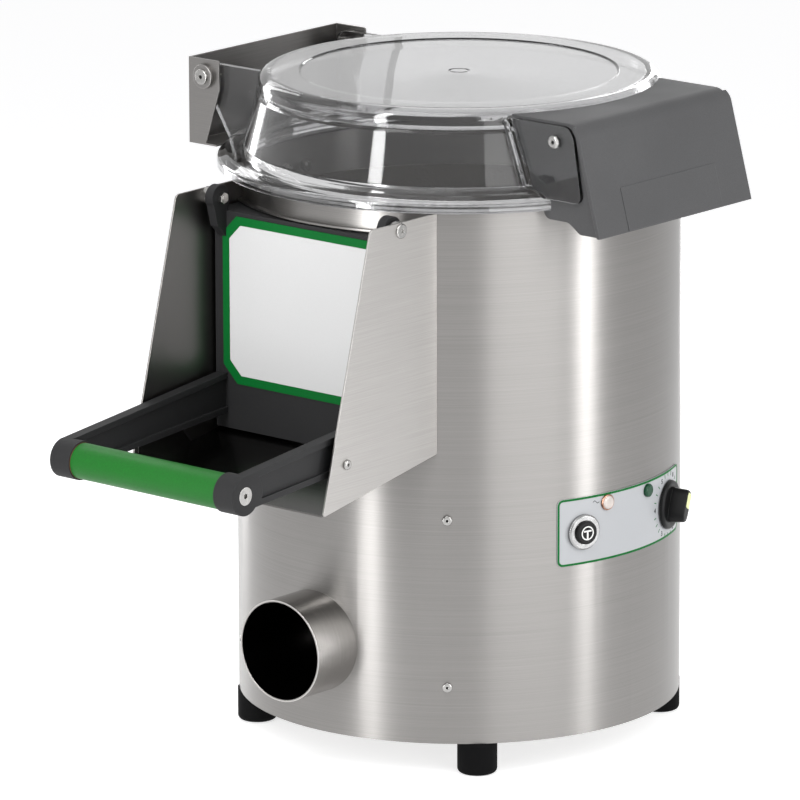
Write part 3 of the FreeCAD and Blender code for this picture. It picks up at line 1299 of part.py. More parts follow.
def build():
    return {
        "body_shell": body_shell(),
        "base_shell": base_shell(),
        "base_plate": base_plate(),
        "body_screws": body_screws(),
        "rim_gasket": rim_gasket(),
        "rubber_feet": rubber_feet(),
        "foot_studs": foot_studs(),
        "drum_floor": tank_floor(),
        "drum_lining": drum_lining(),
        "peeling_disc": peeling_disc(),
        "abrasive_top": abrasive_top(),
        "disc_lift_knob": disc_lift_knob(),
        "drive_shaft": drive_shaft(),
        "bearing_housing": bearing_housing(),
        "housing_bolts": housing_bolts(),
        "shaft_bearings": shaft_bearings(),
        "shaft_seal": shaft_seal(),
        "disc_pulley": disc_pulley(),
        "shaft_nut": shaft_nut(),
        "motor_pulley": motor_pulley(),
        "drive_belt": drive_belt(),
        "motor_plate": motor_plate(),
        "motor_hangers": motor_hangers(),
        "motor_body": motor_body(),
        "motor_shaft": motor_shaft(),
        "drain_pipe": drain_pipe(),
        "chute_sides": group(both_sides(chute_side())),
        "chute_floor": chute_floor(),
        "door_panel": door_panel(),
        "door_label": door_label(),
        "handle_arms": group(both_sides(handle_arm())),
        "grip_core": grip_core(),
        "grip_sleeve": grip_sleeve(),
        "grip_screws": grip_screws(),
        "door_bushes": door_bushes(),
        "door_pins": door_pins(),
        "door_magnet": door_magnet(),
        "lid_dome": lid_dome(),
        "lid_handle_cover": handle_cover(),
        "cover_screws": cover_screws(),
        "lid_magnet": lid_magnet(),
        "lid_hinge_bracket": hinge_bracket(),
        "bracket_standoff": bracket_standoff(),
        "bracket_bolts": bracket_bolts(),
        "lid_pivot_screws": pivot_screws(),
        "lid_pivot_washers": pivot_washers(),
        "safety_sensors": group([door_sensor(), lid_sensor()]),
        "panel_label": panel_label(),
        "start_button_bezel": button_bezel(),
        "start_button_cap": button_cap(),
        "start_switch": switch_block(),
        "clear_lamp": clear_lamp(),
        "green_lamp": green_lamp(),
        "timer_body": timer_body(),
        "timer_knob": timer_knob(),
        "knob_pointer": knob_pointer(),
        "water_inlet": water_inlet(),
        "spray_nozzle": spray_nozzle(),
        "cable_gland": cable_gland(),
        "electronics_box": electronics_box(),
    }


def main():
    os.makedirs("parts", exist_ok=True)
    for name, shape in build().items():
        shape.translate(Vector(SHIFT_X, SHIFT_Y, FOOT_H))
        shape.exportStep(f"parts/{name}.step")


if __name__ == "__main__":
    main()
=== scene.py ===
import bmesh
import bpy
import math
from mathutils import Matrix, Vector


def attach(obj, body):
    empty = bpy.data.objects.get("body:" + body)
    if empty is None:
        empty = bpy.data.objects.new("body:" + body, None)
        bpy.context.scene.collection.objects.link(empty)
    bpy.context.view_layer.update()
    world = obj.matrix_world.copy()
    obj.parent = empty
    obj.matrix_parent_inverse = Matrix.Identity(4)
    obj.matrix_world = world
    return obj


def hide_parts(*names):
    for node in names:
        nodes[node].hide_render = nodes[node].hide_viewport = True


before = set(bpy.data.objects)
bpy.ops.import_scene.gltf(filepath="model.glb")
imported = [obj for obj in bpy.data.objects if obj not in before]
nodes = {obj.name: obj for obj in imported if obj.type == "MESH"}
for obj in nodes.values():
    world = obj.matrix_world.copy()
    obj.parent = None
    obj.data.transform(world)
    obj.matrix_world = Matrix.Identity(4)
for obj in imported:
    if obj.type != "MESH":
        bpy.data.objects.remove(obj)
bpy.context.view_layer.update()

# The drum's axis at the body's lower edge, in the row frame
SHIFT = Vector((-0.00725, 0.0925, 0.028))
MM = 0.001

# Sizes taken over from the solids, in millimetres from the drum's axis and the body's lower edge
BODY_R = 185.0
DRAIN_Z = 76.0
DRAIN_IN_R = 41.0
# Where the painted shade in the drain pipe's bore fades out, in millimetres past its inner wall
PIPE_SHADE_FADE = (0.2, 0.8)
DOOR_FACE_Y = -190.0
GRIP_Y = -378.0
GRIP_Z = 253.5


def at(x, y, z):
    """A point given in millimetres from the drum's axis and the body's lower edge."""
    return Vector((x, y, z)) * MM + SHIFT


def outward(azimuth):
    a = math.radians(azimuth)
    return Vector((math.sin(a), -math.cos(a), 0))


# Materials

def srgb(r, g, b):
    def channel(v):
        v /= 255
        return v / 12.92 if v <= 0.04045 else ((v + 0.055) / 1.055) ** 2.4
    return (channel(r), channel(g), channel(b), 1.0)


def scaled(colour, k):
    return tuple(min(1.0, c * k) for c in colour[:3]) + (1.0,)


class Finish:
    """A node material with colour, roughness and bump that vary over the surface."""

    def __init__(self, name, rough, metallic=0.0):
        self.mat = bpy.data.materials.new(name)
        self.mat.use_nodes = True
        self.tree = self.mat.node_tree
        self.shader = self.tree.nodes["Principled BSDF"]
        self.shader.inputs["Metallic"].default_value = metallic
        self.shader.inputs["Roughness"].default_value = rough
        self.coords = self.add("ShaderNodeTexCoord")

    def add(self, kind, **values):
        node = self.tree.nodes.new(kind)
        for key, value in values.items():
            if key in node.inputs:
                node.inputs[key].default_value = value
            else:
                setattr(node, key, value)
        return node

    def link(self, out, into):
        self.tree.links.new(out, into)

    def noise(self, stretch, detail=3.0, rough=0.6):
        mapping = self.add("ShaderNodeMapping", Scale=stretch)
        self.link(self.coords.outputs["Object"], mapping.inputs["Vector"])
        noise = self.add("ShaderNodeTexNoise", Scale=1.0, Detail=detail, Roughness=rough)
        self.link(mapping.outputs["Vector"], noise.inputs["Vector"])
        return noise.outputs["Fac"]

    def ramp(self, source, low, high, start=0.3, end=0.7):
        ramp = self.add("ShaderNodeValToRGB")
        ramp.color_ramp.elements[0].position = start
        ramp.color_ramp.elements[0].color = low
        ramp.color_ramp.elements[1].position = end
        ramp.color_ramp.elements[1].color = high
        self.link(source, ramp.inputs["Fac"])
        return ramp.outputs["Color"]

    def spread(self, source, low, high, start=0.3, end=0.7):
        node = self.add("ShaderNodeMapRange")
        for key, value in zip(("From Min", "From Max", "To Min", "To Max"), (start, end, low, high)):
            node.inputs[key].default_value = value
        self.link(source, node.inputs["Value"])
        return node.outputs["Result"]

    def mix(self, factor, first, second):
        node = self.add("ShaderNodeMix", data_type="RGBA")
        self.link(factor, node.inputs["Factor"])
        sockets = [i for i in node.inputs if i.type == "RGBA"]
        for socket, source in zip(sockets, (first, second)):
            if isinstance(source, tuple):
                socket.default_value = source
            else:
                self.link(source, socket)
        return [o for o in node.outputs if o.type == "RGBA"][0]

    def bevel(self, radius):
        bevel = self.add("ShaderNodeBevel", samples=6)
        bevel.inputs["Radius"].default_value = radius
        return bevel.outputs["Normal"]

    def edges(self, radius):
        """White along edges, black elsewhere: the mask for painted highlights along edges."""
        geometry = self.add("ShaderNodeNewGeometry")
        dot = self.add("ShaderNodeVectorMath", operation="DOT_PRODUCT")
        self.link(self.bevel(radius), dot.inputs[0])
        self.link(geometry.outputs["Normal"], dot.inputs[1])
        return self.spread(dot.outputs["Value"], 1.0, 0.0, start=0.9, end=0.995)

    def bump(self, source, depth, strength, round_edges):
        bump = self.add("ShaderNodeBump")
        bump.inputs["Strength"].default_value = strength
        bump.inputs["Distance"].default_value = depth
        self.link(source, bump.inputs["Height"])
        if round_edges:
            self.link(self.bevel(round_edges), bump.inputs["Normal"])
        self.link(bump.outputs["Normal"], self.shader.inputs["Normal"])

    def set(self, **values):
        for key, value in values.items():
            socket = self.shader.inputs[key.replace("_", " ")]
            if hasattr(value, "is_linked"):
                self.link(value, socket)
            else:
                socket.default_value = value


def inner_faces(f):
    """Mask for painted shade: 1 on faces that look towards the plane x = 0 between two side plates."""
    geometry = f.add("ShaderNodeNewGeometry")
    product = f.add("ShaderNodeMath", operation="MULTIPLY")
    for into, output in enumerate(("Normal", "Position")):
        split = f.add("ShaderNodeSeparateXYZ")
        f.link(geometry.outputs[output], split.inputs[0])
        f.link(split.outputs["X"], product.inputs[into])
    return f.spread(product.outputs[0], 1.0, 0.0, start=-0.02, end=0.0)


def pipe_inside(f):
    """Mask for painted shade in the drain pipe's bore: 1 inside the pipe, by the distance from its axis,
    fading out just past its inner wall.
    """
    geometry = f.add("ShaderNodeNewGeometry")
    apart = f.add("ShaderNodeVectorMath", operation="SUBTRACT")
    f.link(geometry.outputs["Position"], apart.inputs[0])
    apart.inputs[1].default_value = at(0, 0, DRAIN_Z)
    flat = f.add("ShaderNodeVectorMath", operation="MULTIPLY")
    f.link(apart.outputs["Vector"], flat.inputs[0])
    flat.inputs[1].default_value = (1, 0, 1)
    length = f.add("ShaderNodeVectorMath", operation="LENGTH")
    f.link(flat.outputs["Vector"], length.inputs[0])
    start, end = [(DRAIN_IN_R + past) * MM for past in PIPE_SHADE_FADE]
    return f.spread(length.outputs["Value"], 1.0, 0.0, start, end)


def brushed(name, tone, rough, streak, rolled, painted_edge_gain, painted_shade, painted_shade_share):
    """Stainless steel with fine parallel grain, which spreads highlights across the grain."""
    f = Finish(name, rough, metallic=1.0)
    fine = f.noise(streak, detail=5.0, rough=0.75)
    broad = f.noise((7, 7, 4), detail=2.0)
    colour = f.ramp(fine, scaled(tone, 0.84), scaled(tone, 1.12))
    colour = f.mix(f.spread(broad, 0.0, 0.3), colour, scaled(tone, 0.9))
    # Painted shade: the tone is darkened where the mask is 1, on the chute plates' inner faces and in the
    # drain pipe's bore.
    if painted_shade:
        colour = f.mix(painted_shade(f), colour, scaled(tone, painted_shade_share))
    # Painted highlight: the tone is brightened along edges by the edge mask.
    if painted_edge_gain:
        colour = f.mix(f.edges(0.0008), colour, scaled(tone, 1.0 + painted_edge_gain))
    f.set(Base_Color=colour, Roughness=f.spread(fine, rough - 0.03, rough + 0.04))
    if rolled:
        f.set(Anisotropic=0.85, Anisotropic_Rotation=0.25)
        tangent = f.add("ShaderNodeTangent", direction_type="RADIAL", axis="Z")
        f.link(tangent.outputs["Tangent"], f.shader.inputs["Tangent"])
    f.bump(fine, depth=0.00001, strength=0.15, round_edges=0.0004 if painted_edge_gain else 0.0)
    return f.mat


def machined(name, tone, rough, grain, edge):
    """Turned or pressed metal, with small marks and a painted highlight along its edges."""
    f = Finish(name, rough, metallic=1.0)
    marks = f.noise((grain, grain, grain))
    colour = f.ramp(marks, scaled(tone, 0.85), scaled(tone, 1.08))
    # Painted highlight: the tone is brightened along edges by the edge mask.
    colour = f.mix(f.edges(edge * 2), colour, scaled(tone, 1.3))
    f.set(Base_Color=colour, Roughness=f.spread(marks, rough - 0.06, rough + 0.08))
    f.bump(marks, depth=0.00004, strength=0.3, round_edges=edge)
    return f.mat


def moulded(name, tone, rough, grain, depth, edge, painted_edge_lift, gloss, vary):
    """Moulded plastic or rubber with a fine grain and a painted highlight along its edges."""
    f = Finish(name, rough)
    fine = f.noise((grain, grain, grain))
    broad = f.noise((11, 11, 11), detail=2.0)
    colour = f.ramp(fine, scaled(tone, 1 - 0.16 * vary), scaled(tone, 1 + 0.14 * vary))
    colour = f.mix(f.spread(broad, 0.0, 0.45), colour, scaled(tone, 1 - 0.14 * vary))
    # Painted highlight: the tone is brightened along edges by the edge mask.
    colour = f.mix(f.edges(edge * 2), colour, scaled(tone, painted_edge_lift))
    f.set(Base_Color=colour, Roughness=f.spread(broad, rough - 0.05, rough + 0.07), Specular_IOR_Level=gloss)
    f.bump(fine, depth, strength=0.5, round_edges=edge)
    return f.mat


def clear(name, tint, rough):
    """Clear moulded plastic with faint flow marks and fine scratches."""
    f = Finish(name, rough)
    flow = f.noise((14, 14, 14), detail=2.0)
    marks = f.noise((160, 160, 160), detail=4.0, rough=0.7)
    scratched = f.spread(marks, rough * 0.6, rough * 1.6, start=0.4, end=0.75)
    f.set(Base_Color=f.ramp(flow, scaled(tint, 0.97), tint), Roughness=scratched)
    f.set(Transmission_Weight=1.0, IOR=1.45)
    f.bump(flow, depth=0.0003, strength=0.12, round_edges=0.0008)
    return f.mat


STEEL = srgb(139, 137, 135)

# Sheet steel: share of the steel's tone, roughness, grain per metre along x, y and z, rolled or
# flat, how much brighter its edges are painted as a highlight, and the mask of its painted shade
# with the share of the tone left there
SHEETS = {
    "brushed_steel": (1.0, 0.36, (5, 5, 2600), True, 0.2, None, 1.0),
    "shell_steel": (1.0, 0.36, (5, 5, 2600), True, 0.0, None, 1.0),
    "plate_steel": (1.5, 0.33, (9, 9, 2200), False, 0.2, inner_faces, 0.42),
    "tray_steel": (0.42, 0.22, (6, 1400, 6), False, 0.2, None, 1.0),
    "bracket_steel": (0.9, 0.34, (9, 9, 1500), False, 0.2, None, 1.0),
    "tint_steel": (1.8, 0.22, (9, 1500, 9), False, 0.2, pipe_inside, 0.15),
}

# Turned and pressed metal: colour, roughness, marks per metre and edge radius, which also sets the width of
# the painted edge highlight
MACHINED = {
    "bright_steel": ((164, 163, 161), 0.22, 220, 0.0003),
    "chrome_ring": ((158, 158, 158), 0.2, 90, 0.0004),
    "cast_aluminium": ((176, 176, 174), 0.45, 260, 0.0003),
    "copper_ring": ((160, 122, 104), 0.25, 120, 0.0002),
    # Painted shade for the floor of the hexagon sockets
    "socket_dark": ((38, 38, 38), 0.5, 220, 0.0003),
}

# Plastic, rubber and print: colour, roughness, grain per metre, grain depth, edge radius,
# brightness of the painted edge highlight, gloss, and how much the colour varies
MOULDED = {
    "black_rubber": ((9, 9, 10), 0.75, 500, 0.00008, 0.0006, 1.5, 0.1, 1.0),
    "belt_rubber": ((30, 30, 30), 0.7, 260, 0.0001, 0.0003, 1.4, 0.3, 1.0),
    "dark_plastic": ((32, 32, 33), 0.6, 1100, 0.00006, 0.0006, 1.5, 0.25, 1.0),
    "cover_plastic": ((74, 74, 75), 0.6, 1300, 0.00007, 0.0006, 1.3, 0.25, 1.0),
    "black_plastic": ((9, 9, 10), 0.4, 900, 0.00003, 0.0005, 1.8, 0.2, 1.0),
    "magnet_plastic": ((30, 30, 31), 0.45, 500, 0.00003, 0.0003, 1.2, 0.5, 1.0),
    "green_plastic": ((4, 95, 18), 0.45, 700, 0.00003, 0.0005, 1.15, 0.3, 1.0),
    "pointer_plastic": ((226, 232, 170), 0.4, 600, 0.00002, 0.0002, 1.05, 0.5, 1.0),
    "green_lens": ((0, 62, 36), 0.2, 300, 0.00002, 0.0004, 1.6, 0.3, 1.0),
    "lamp_pale": ((196, 186, 180), 0.12, 160, 0.00005, 0.0004, 1.05, 0.8, 1.0),
    "abrasive_grit": ((92, 88, 84), 0.85, 420, 0.0012, 0.0003, 1.2, 0.2, 1.0),
    "motor_paint": ((70, 84, 98), 0.42, 320, 0.0001, 0.0006, 1.3, 0.5, 1.0),
    "label_sheet": ((206, 206, 206), 0.38, 1400, 0.00001, 0.0002, 1.03, 0.4, 0.15),
    "panel_sheet": ((170, 172, 175), 0.34, 1400, 0.00001, 0.0002, 1.04, 0.4, 0.15),
    "label_green": ((0, 98, 38), 0.5, 1400, 0.00001, 0.0002, 1.1, 0.15, 1.0),
    "print_black": ((14, 15, 15), 0.5, 1400, 0.00001, 0.0001, 1.1, 0.15, 1.0),
    "print_white": ((232, 232, 230), 0.4, 1400, 0.00001, 0.0001, 1.02, 0.5, 1.0),
    "seam_red": ((84, 34, 30), 0.5, 600, 0.00002, 0.0002, 1.1, 0.5, 1.0),
}

MATERIALS = {"clear_plastic": clear("clear_plastic", (0.72, 0.72, 0.725, 1.0), 0.035)}
for name, (share, *values) in SHEETS.items():
    MATERIALS[name] = brushed(name, scaled(STEEL, share), *values)
for name, (tone, *values) in MACHINED.items():
    MATERIALS[name] = machined(name, srgb(*tone), *values)
for name, (tone, *values) in MOULDED.items():
    MATERIALS[name] = moulded(name, srgb(*tone), *values)

# Nodes whose finish differs from that of their slot
OWN_FINISH = {
    "body_shell": "shell_steel",
    "base_shell": "shell_steel",
    "chute_sides": "plate_steel",
    "chute_floor": "tray_steel",
    "lid_hinge_bracket": "bracket_steel",
    "lid_pivot_washers": "bracket_steel",
    "drain_pipe": "tint_steel",
    "lid_handle_cover": "cover_plastic",
    "safety_sensors": "black_plastic",
    "panel_label": "panel_sheet",
    "clear_lamp": "lamp_pale",
}

for name, node in nodes.items():
    for slot in node.material_slots:
        kind = OWN_FINISH.get(name) or slot.material.name.split(".")[0]
        slot.material = MATERIALS[kind]


# Pieces

SHARP_ANGLE = 35


def keep(name, mesh, finish, body, slot_name, smooth=True, replaced=()):
    """Put a mesh into the scene on its body."""
    obj = bpy.data.objects.new(name, mesh)
    bpy.context.scene.collection.objects.link(obj)
    mesh.materials.append(MATERIALS[finish])
    for face in mesh.polygons:
        face.use_smooth = smooth
    if smooth:
        mesh.set_sharp_from_angle(angle=math.radians(SHARP_ANGLE))
    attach(obj, body)
    if replaced:
        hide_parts(*replaced)


def from_bmesh(name, bm, *rest, **more):
    bmesh.ops.recalc_face_normals(bm, faces=bm.faces)
    mesh = bpy.data.meshes.new(name)
    bm.to_mesh(mesh)
    bm.free()
    keep(name, mesh, *rest, **more)


def band(bm, low, high):
    """Faces between two rings of as many points."""
    for i in range(len(low)):
        j = (i + 1) % len(low)
        bm.faces.new((low[i], low[j], high[j], high[i]))


def prism(bm, loops, place, depth):
    """Closed plate between an outer loop and any inner loop, in millimetres, laid by place(u, v, w)."""
    rims = []
    for loop in loops:
        low = [bm.verts.new(place(u, v, 0)) for u, v in loop]
        high = [bm.verts.new(place(u, v, depth)) for u, v in loop]
        band(bm, low, high)
        rims.append((low, high))
    if len(rims) == 1:
        bm.faces.new(rims[0][0][::-1])
        bm.faces.new(rims[0][1])
        return
    (low_a, high_a), (low_b, high_b) = rims
    for i in range(len(low_a)):
        j = (i + 1) % len(low_a)
        bm.faces.new((high_a[i], high_a[j], high_b[j], high_b[i]))
        bm.faces.new((low_a[i], low_b[i], low_b[j], low_a[j]))


def flat_piece(name, loops, place, depth, finish, body, slot_name, **more):
    """Piece made of one prism."""
    bm = bmesh.new()
    prism(bm, loops, place, depth)
    from_bmesh(name, bm, finish, body, slot_name, **more)


def turned(bm, place, profile, count=64):
    """Ring or disc with a (radius, height) outline, laid by place(u, v, w)."""
    rings = []
    for radius, height in profile:
        rings.append([bm.verts.new(place(u, v, height)) for u, v in circle(radius, count)])
    for k, ring in enumerate(rings):
        band(bm, ring, rings[(k + 1) % len(rings)])


def circle(radius, count=48):
    turns = [math.tau * i / count for i in range(count)]
    return [(radius * math.cos(a), radius * math.sin(a)) for a in turns]


def hexagon(flats, count=48):
    """Hexagon with extra points on its sides, so that it pairs with a circle."""
    points = []
    for i in range(count):
        a = math.tau * i / count
        off_flat = (a % (math.pi / 3)) - math.pi / 6
        r = flats / 2 / math.cos(off_flat)
        points.append((r * math.cos(a), r * math.sin(a)))
    return points


def cut_corners(half, low, high, cut):
    """Rectangle about u = 0 with its corners cut off."""
    return [(-half, low + cut), (-half + cut, low), (half - cut, low), (half, low + cut),
            (half, high - cut), (half - cut, high), (-half + cut, high), (-half, high - cut)]


def rounded(half_w, half_h, radius, steps=6, along=24):
    """Rounded rectangle about its centre, with points along the straight sides too."""
    points = []
    corners = [(half_w - radius, -half_h + radius, -90), (half_w - radius, half_h - radius, 0),
               (-half_w + radius, half_h - radius, 90), (-half_w + radius, -half_h + radius, 180)]
    for index, (cx, cy, start) in enumerate(corners):
        for k in range(steps + 1):
            a = math.radians(start + 90 * k / steps)
            points.append((cx + radius * math.cos(a), cy + radius * math.sin(a)))
        nx, ny, nstart = corners[(index + 1) % 4]
        a = math.radians(nstart)
        ahead = (nx + radius * math.cos(a), ny + radius * math.sin(a))
        here = points[-1]
        for k in range(1, along):
            t = k / along
            points.append((here[0] + (ahead[0] - here[0]) * t, here[1] + (ahead[1] - here[1]) * t))
    return points


def bar(u0, v0, u1, v1, width):
    """Thin four-cornered stroke from one point to another."""
    length = math.hypot(u1 - u0, v1 - v0)
    nu, nv = -(v1 - v0) / length * width / 2, (u1 - u0) / length * width / 2
    return [(u0 + nu, v0 + nv), (u0 - nu, v0 - nv), (u1 - nu, v1 - nv), (u1 + nu, v1 + nv)]


# Door: the label's field and border, and dark seams at both ends of the grip's sleeve

LABEL_HALF_W = 92.0
LABEL_LOW = 281.5
LABEL_HIGH = 422.0
LABEL_CUT = 15.0
LABEL_INNER_CUT = 12.1
LABEL_LINE_W = 7.0
LABEL_LINE_T = 0.8
LABEL_FIELD_T = 0.6
LABEL_FIELD_GAP = 0.1
SEAM_X = 77.4
SEAM_R = 15.0
SEAM_IN_R = 14.4
SEAM_W = 0.7


def label_loop(inset, cut):
    return cut_corners(LABEL_HALF_W - inset, LABEL_LOW + inset, LABEL_HIGH - inset, cut)


def on_door(u, v, w):
    return at(u, DOOR_FACE_Y - w, v)


def door_label():
    field = label_loop(LABEL_LINE_W + LABEL_FIELD_GAP, LABEL_INNER_CUT)
    flat_piece("door_label_field", [field], on_door, LABEL_FIELD_T, "label_sheet", "door", "label_sheet",
               smooth=False, replaced=["door_label"])
    border = [label_loop(0, LABEL_CUT), label_loop(LABEL_LINE_W, LABEL_INNER_CUT)]
    flat_piece("door_label_border", border, on_door, LABEL_LINE_T, "label_green", "door", "label_sheet",
               smooth=False)


def grip_seam(name, x):
    def place(u, v, w):
        return at(x - SEAM_W / 2 + w, GRIP_Y + u, GRIP_Z + v)
    flat_piece(name, [circle(SEAM_R), circle(SEAM_IN_R)], place, SEAM_W, "seam_red", "door", "green_plastic")


door_label()
grip_seam("grip_seam_left", -SEAM_X)
grip_seam("grip_seam_right", SEAM_X)


# Control panel. Places on the wall are an azimuth and a height.

PANEL_R = BODY_R + 0.8
PANEL = (91.0, 172.75)
PANEL_HALF_W = 82.2
PANEL_HALF_H = 28.15
PANEL_CORNER = 5.0
PANEL_LINE_W = 1.8
PANEL_LINE_T = 0.12
PRINT_T = 0.1
START_BUTTON = (73.0, 172.0)
START_FACE_R = BODY_R + 7.4
START_RING_R = 5.9
START_RING_IN_R = 4.9
START_UPRIGHT_TOP = 1.5
START_UPRIGHT_W = 1.5
START_BAR_HALF_L = 3.7
START_BAR_V = 1.7
START_BAR_W = 1.3
CLEAR_LAMP = (80.6, 193.0)
COLLAR_PROFILE = [(5.7, 0.95), (6.7, 0.95), (6.7, 1.8), (6.3, 2.5), (5.7, 2.7)]
MAINS_MARK = (77.0, 195.0)
MAINS_HALF_W = 3.2
MAINS_RISE = 1.1
MAINS_HALF_LINE = 0.3
MAINS_STEPS = 16

# Dial: its zero in degrees clockwise from the top, and the steps between ticks and between numbers
DIAL = (108.2, 172.0)
DIAL_ZERO = 30
TICK_STEP = 15
NUMBER_STEP = 60
TICK_IN_R = 24.2
TICK_OUT_R = 27.6
TICK_W = 0.8
NUMBER_R = 25.6
NUMBER_SIZE = 5.6
NUMBER_HALF_T = 0.05
NUMBER_BOLD = 0.12

# Knob, with its pointer at the dial's zero: (radius, height) outline of the skirt, half width and
# length of the grip, its (height, share of the outline) levels, and the insert in its top
SKIRT_PROFILE = [(3.0, 1.3), (20.5, 1.3), (20.5, 3.4), (19.6, 4.6), (17.6, 5.2), (15.4, 4.6), (3.0, 4.2)]
SKIRT_STEPS = 96
KNOB_HALF_W = 6.4
KNOB_HALF_L = 14.4
KNOB_WAIST = 0.16
KNOB_SIDE_POWER = 0.7
KNOB_END_POWER = 0.8
KNOB_STEPS = 64
KNOB_LEVELS = [(4.3, 1.04), (9.0, 1.0), (16.6, 0.96), (17.9, 0.91), (18.3, 0.84)]
INSERT_HALF_W = 3.6
INSERT_HALF_L = 6.4
INSERT_CORNER = 1.6
INSERT_OFF = 4.6
INSERT_LOW = 18.25
INSERT_T = 0.35


def on_panel(azimuth, z):
    """Lays flat (u, v) artwork on the round panel, u along it and v upwards, in millimetres."""
    def place(u, v, w):
        a = azimuth + math.degrees(u / BODY_R)
        out = outward(a) * (PANEL_R + w)
        return at(out.x, out.y, z + v)
    return place


def on_wall(azimuth, z, radius=BODY_R):
    """Flat artwork square to the wall at one spot: u to the viewer's right, v up and w outward."""
    out = outward(azimuth)
    across = Vector((-out.y, out.x, 0))

    def place(u, v, w):
        p = out * (radius + w) + across * u
        return at(p.x, p.y, z + v)
    return place


def panel_border():
    outer = rounded(PANEL_HALF_W, PANEL_HALF_H, PANEL_CORNER)
    inner = rounded(PANEL_HALF_W - PANEL_LINE_W, PANEL_HALF_H - PANEL_LINE_W, PANEL_CORNER - PANEL_LINE_W)
    flat_piece("panel_border", [outer, inner], on_panel(*PANEL), PANEL_LINE_T, "label_green", "root",
               "label_sheet")


def dial_ticks():
    """Green ticks round the dial, three between each pair of numbers."""
    bm = bmesh.new()
    place = on_panel(*DIAL)
    for turn in range(0, 360, TICK_STEP):
        if turn % NUMBER_STEP == DIAL_ZERO:
            continue
        a = math.radians(turn)
        u, v = math.sin(a), math.cos(a)
        tick = bar(TICK_IN_R * u, TICK_IN_R * v, TICK_OUT_R * u, TICK_OUT_R * v, TICK_W)
        prism(bm, [tick], place, PRINT_T)
    from_bmesh("dial_ticks", bm, "label_green", "root", "label_sheet", smooth=False)


def figure(name, words, place):
    """Printed figure laid through place(u, v, w)."""
    font = bpy.data.curves.new(name, "FONT")
    font.body = words
    font.size = NUMBER_SIZE
    font.align_x = "CENTER"
    font.align_y = "CENTER"
    font.extrude = NUMBER_HALF_T
    font.offset = NUMBER_BOLD
    source = bpy.data.objects.new(name + "_source", font)
    bpy.context.scene.collection.objects.link(source)
    bpy.context.view_layer.update()
    mesh = bpy.data.meshes.new_from_object(source.evaluated_get(bpy.context.evaluated_depsgraph_get()))
    bpy.data.objects.remove(source)
    for vert in mesh.vertices:
        vert.co = place(vert.co.x, vert.co.y, vert.co.z + NUMBER_HALF_T)
    mesh.materials.clear()
    keep(name, mesh, "print_black", "root", "label_sheet", smooth=False)


def dial_numbers():
    flat = on_panel(*DIAL)
    for i in range(360 // NUMBER_STEP):
        a = math.radians(DIAL_ZERO + NUMBER_STEP * i)
        du, dv = NUMBER_R * math.sin(a), NUMBER_R * math.cos(a)
        figure("dial_number_%d" % i, str(i), lambda u, v, w: flat(u + du, v + dv, w))


def mains_mark():
    """The sign for mains power beside the clear lamp."""
    bm = bmesh.new()
    top = []
    low = []
    for i in range(MAINS_STEPS + 1):
        u = -MAINS_HALF_W + 2 * MAINS_HALF_W * i / MAINS_STEPS
        v = MAINS_RISE * math.sin(math.tau * i / MAINS_STEPS)
        top.append((u, v + MAINS_HALF_LINE))
        low.append((u, v - MAINS_HALF_LINE))
    place = on_panel(*MAINS_MARK)
    for i in range(MAINS_STEPS):
        prism(bm, [[low[i], low[i + 1], top[i + 1], top[i]]], place, PRINT_T)
    from_bmesh("mains_mark", bm, "print_black", "root", "label_sheet", smooth=False)


def start_mark():
    """White start sign on the button's cap: a ring with an upright and a crossbar."""
    face = on_wall(*START_BUTTON, START_FACE_R)
    upright = bar(0, -START_RING_IN_R, 0, START_UPRIGHT_TOP, START_UPRIGHT_W)
    crossbar = bar(-START_BAR_HALF_L, START_BAR_V, START_BAR_HALF_L, START_BAR_V, START_BAR_W)
    bm = bmesh.new()
    for loops in ([circle(START_RING_R), circle(START_RING_IN_R)], [upright], [crossbar]):
        prism(bm, loops, face, PANEL_LINE_T)
    from_bmesh("start_mark", bm, "print_white", "start_button", "label_sheet")


def lamp_collar():
    bm = bmesh.new()
    turned(bm, on_wall(*CLEAR_LAMP), COLLAR_PROFILE)
    from_bmesh("clear_lamp_collar", bm, "copper_ring", "root", "chrome_ring")


def on_knob(u, v, w):
    """Artwork square to the wall at the dial, turned with the knob."""
    turn = math.radians(DIAL_ZERO)
    across = u * math.cos(turn) + v * math.sin(turn)
    up = v * math.cos(turn) - u * math.sin(turn)
    return on_wall(*DIAL)(across, up, w)


def knob_outline():
    """Waisted oblong of the knob's grip."""
    points = []
    for i in range(KNOB_STEPS):
        a = math.tau * i / KNOB_STEPS
        c, s = math.cos(a), math.sin(a)
        u = KNOB_HALF_W * math.copysign(abs(c) ** KNOB_SIDE_POWER, c) * (1 - KNOB_WAIST * c ** 2)
        v = KNOB_HALF_L * math.copysign(abs(s) ** KNOB_END_POWER, s)
        points.append((u, v))
    return points


def knob():
    """Timer knob: a dished skirt and a waisted grip."""
    bm = bmesh.new()
    turned(bm, on_knob, SKIRT_PROFILE, SKIRT_STEPS)
    rings = [[bm.verts.new(on_knob(u * k, v * k, w)) for u, v in knob_outline()] for w, k in KNOB_LEVELS]
    for low, high in zip(rings, rings[1:]):
        band(bm, low, high)
    bm.faces.new(rings[-1])
    bm.faces.new(rings[0][::-1])
    from_bmesh("timer_knob_shape", bm, "black_plastic", "timer_dial", "black_plastic",
               replaced=["timer_knob"])


def knob_insert():
    """Pale insert that marks the knob's upper end."""
    def place(u, v, w):
        return on_knob(u, v + INSERT_OFF, w + INSERT_LOW)
    outline = rounded(INSERT_HALF_W, INSERT_HALF_L, INSERT_CORNER, steps=5, along=2)
    flat_piece("timer_knob_insert", [outline], place, INSERT_T, "pointer_plastic", "timer_dial",
               "pointer_plastic", smooth=False, replaced=["knob_pointer"])


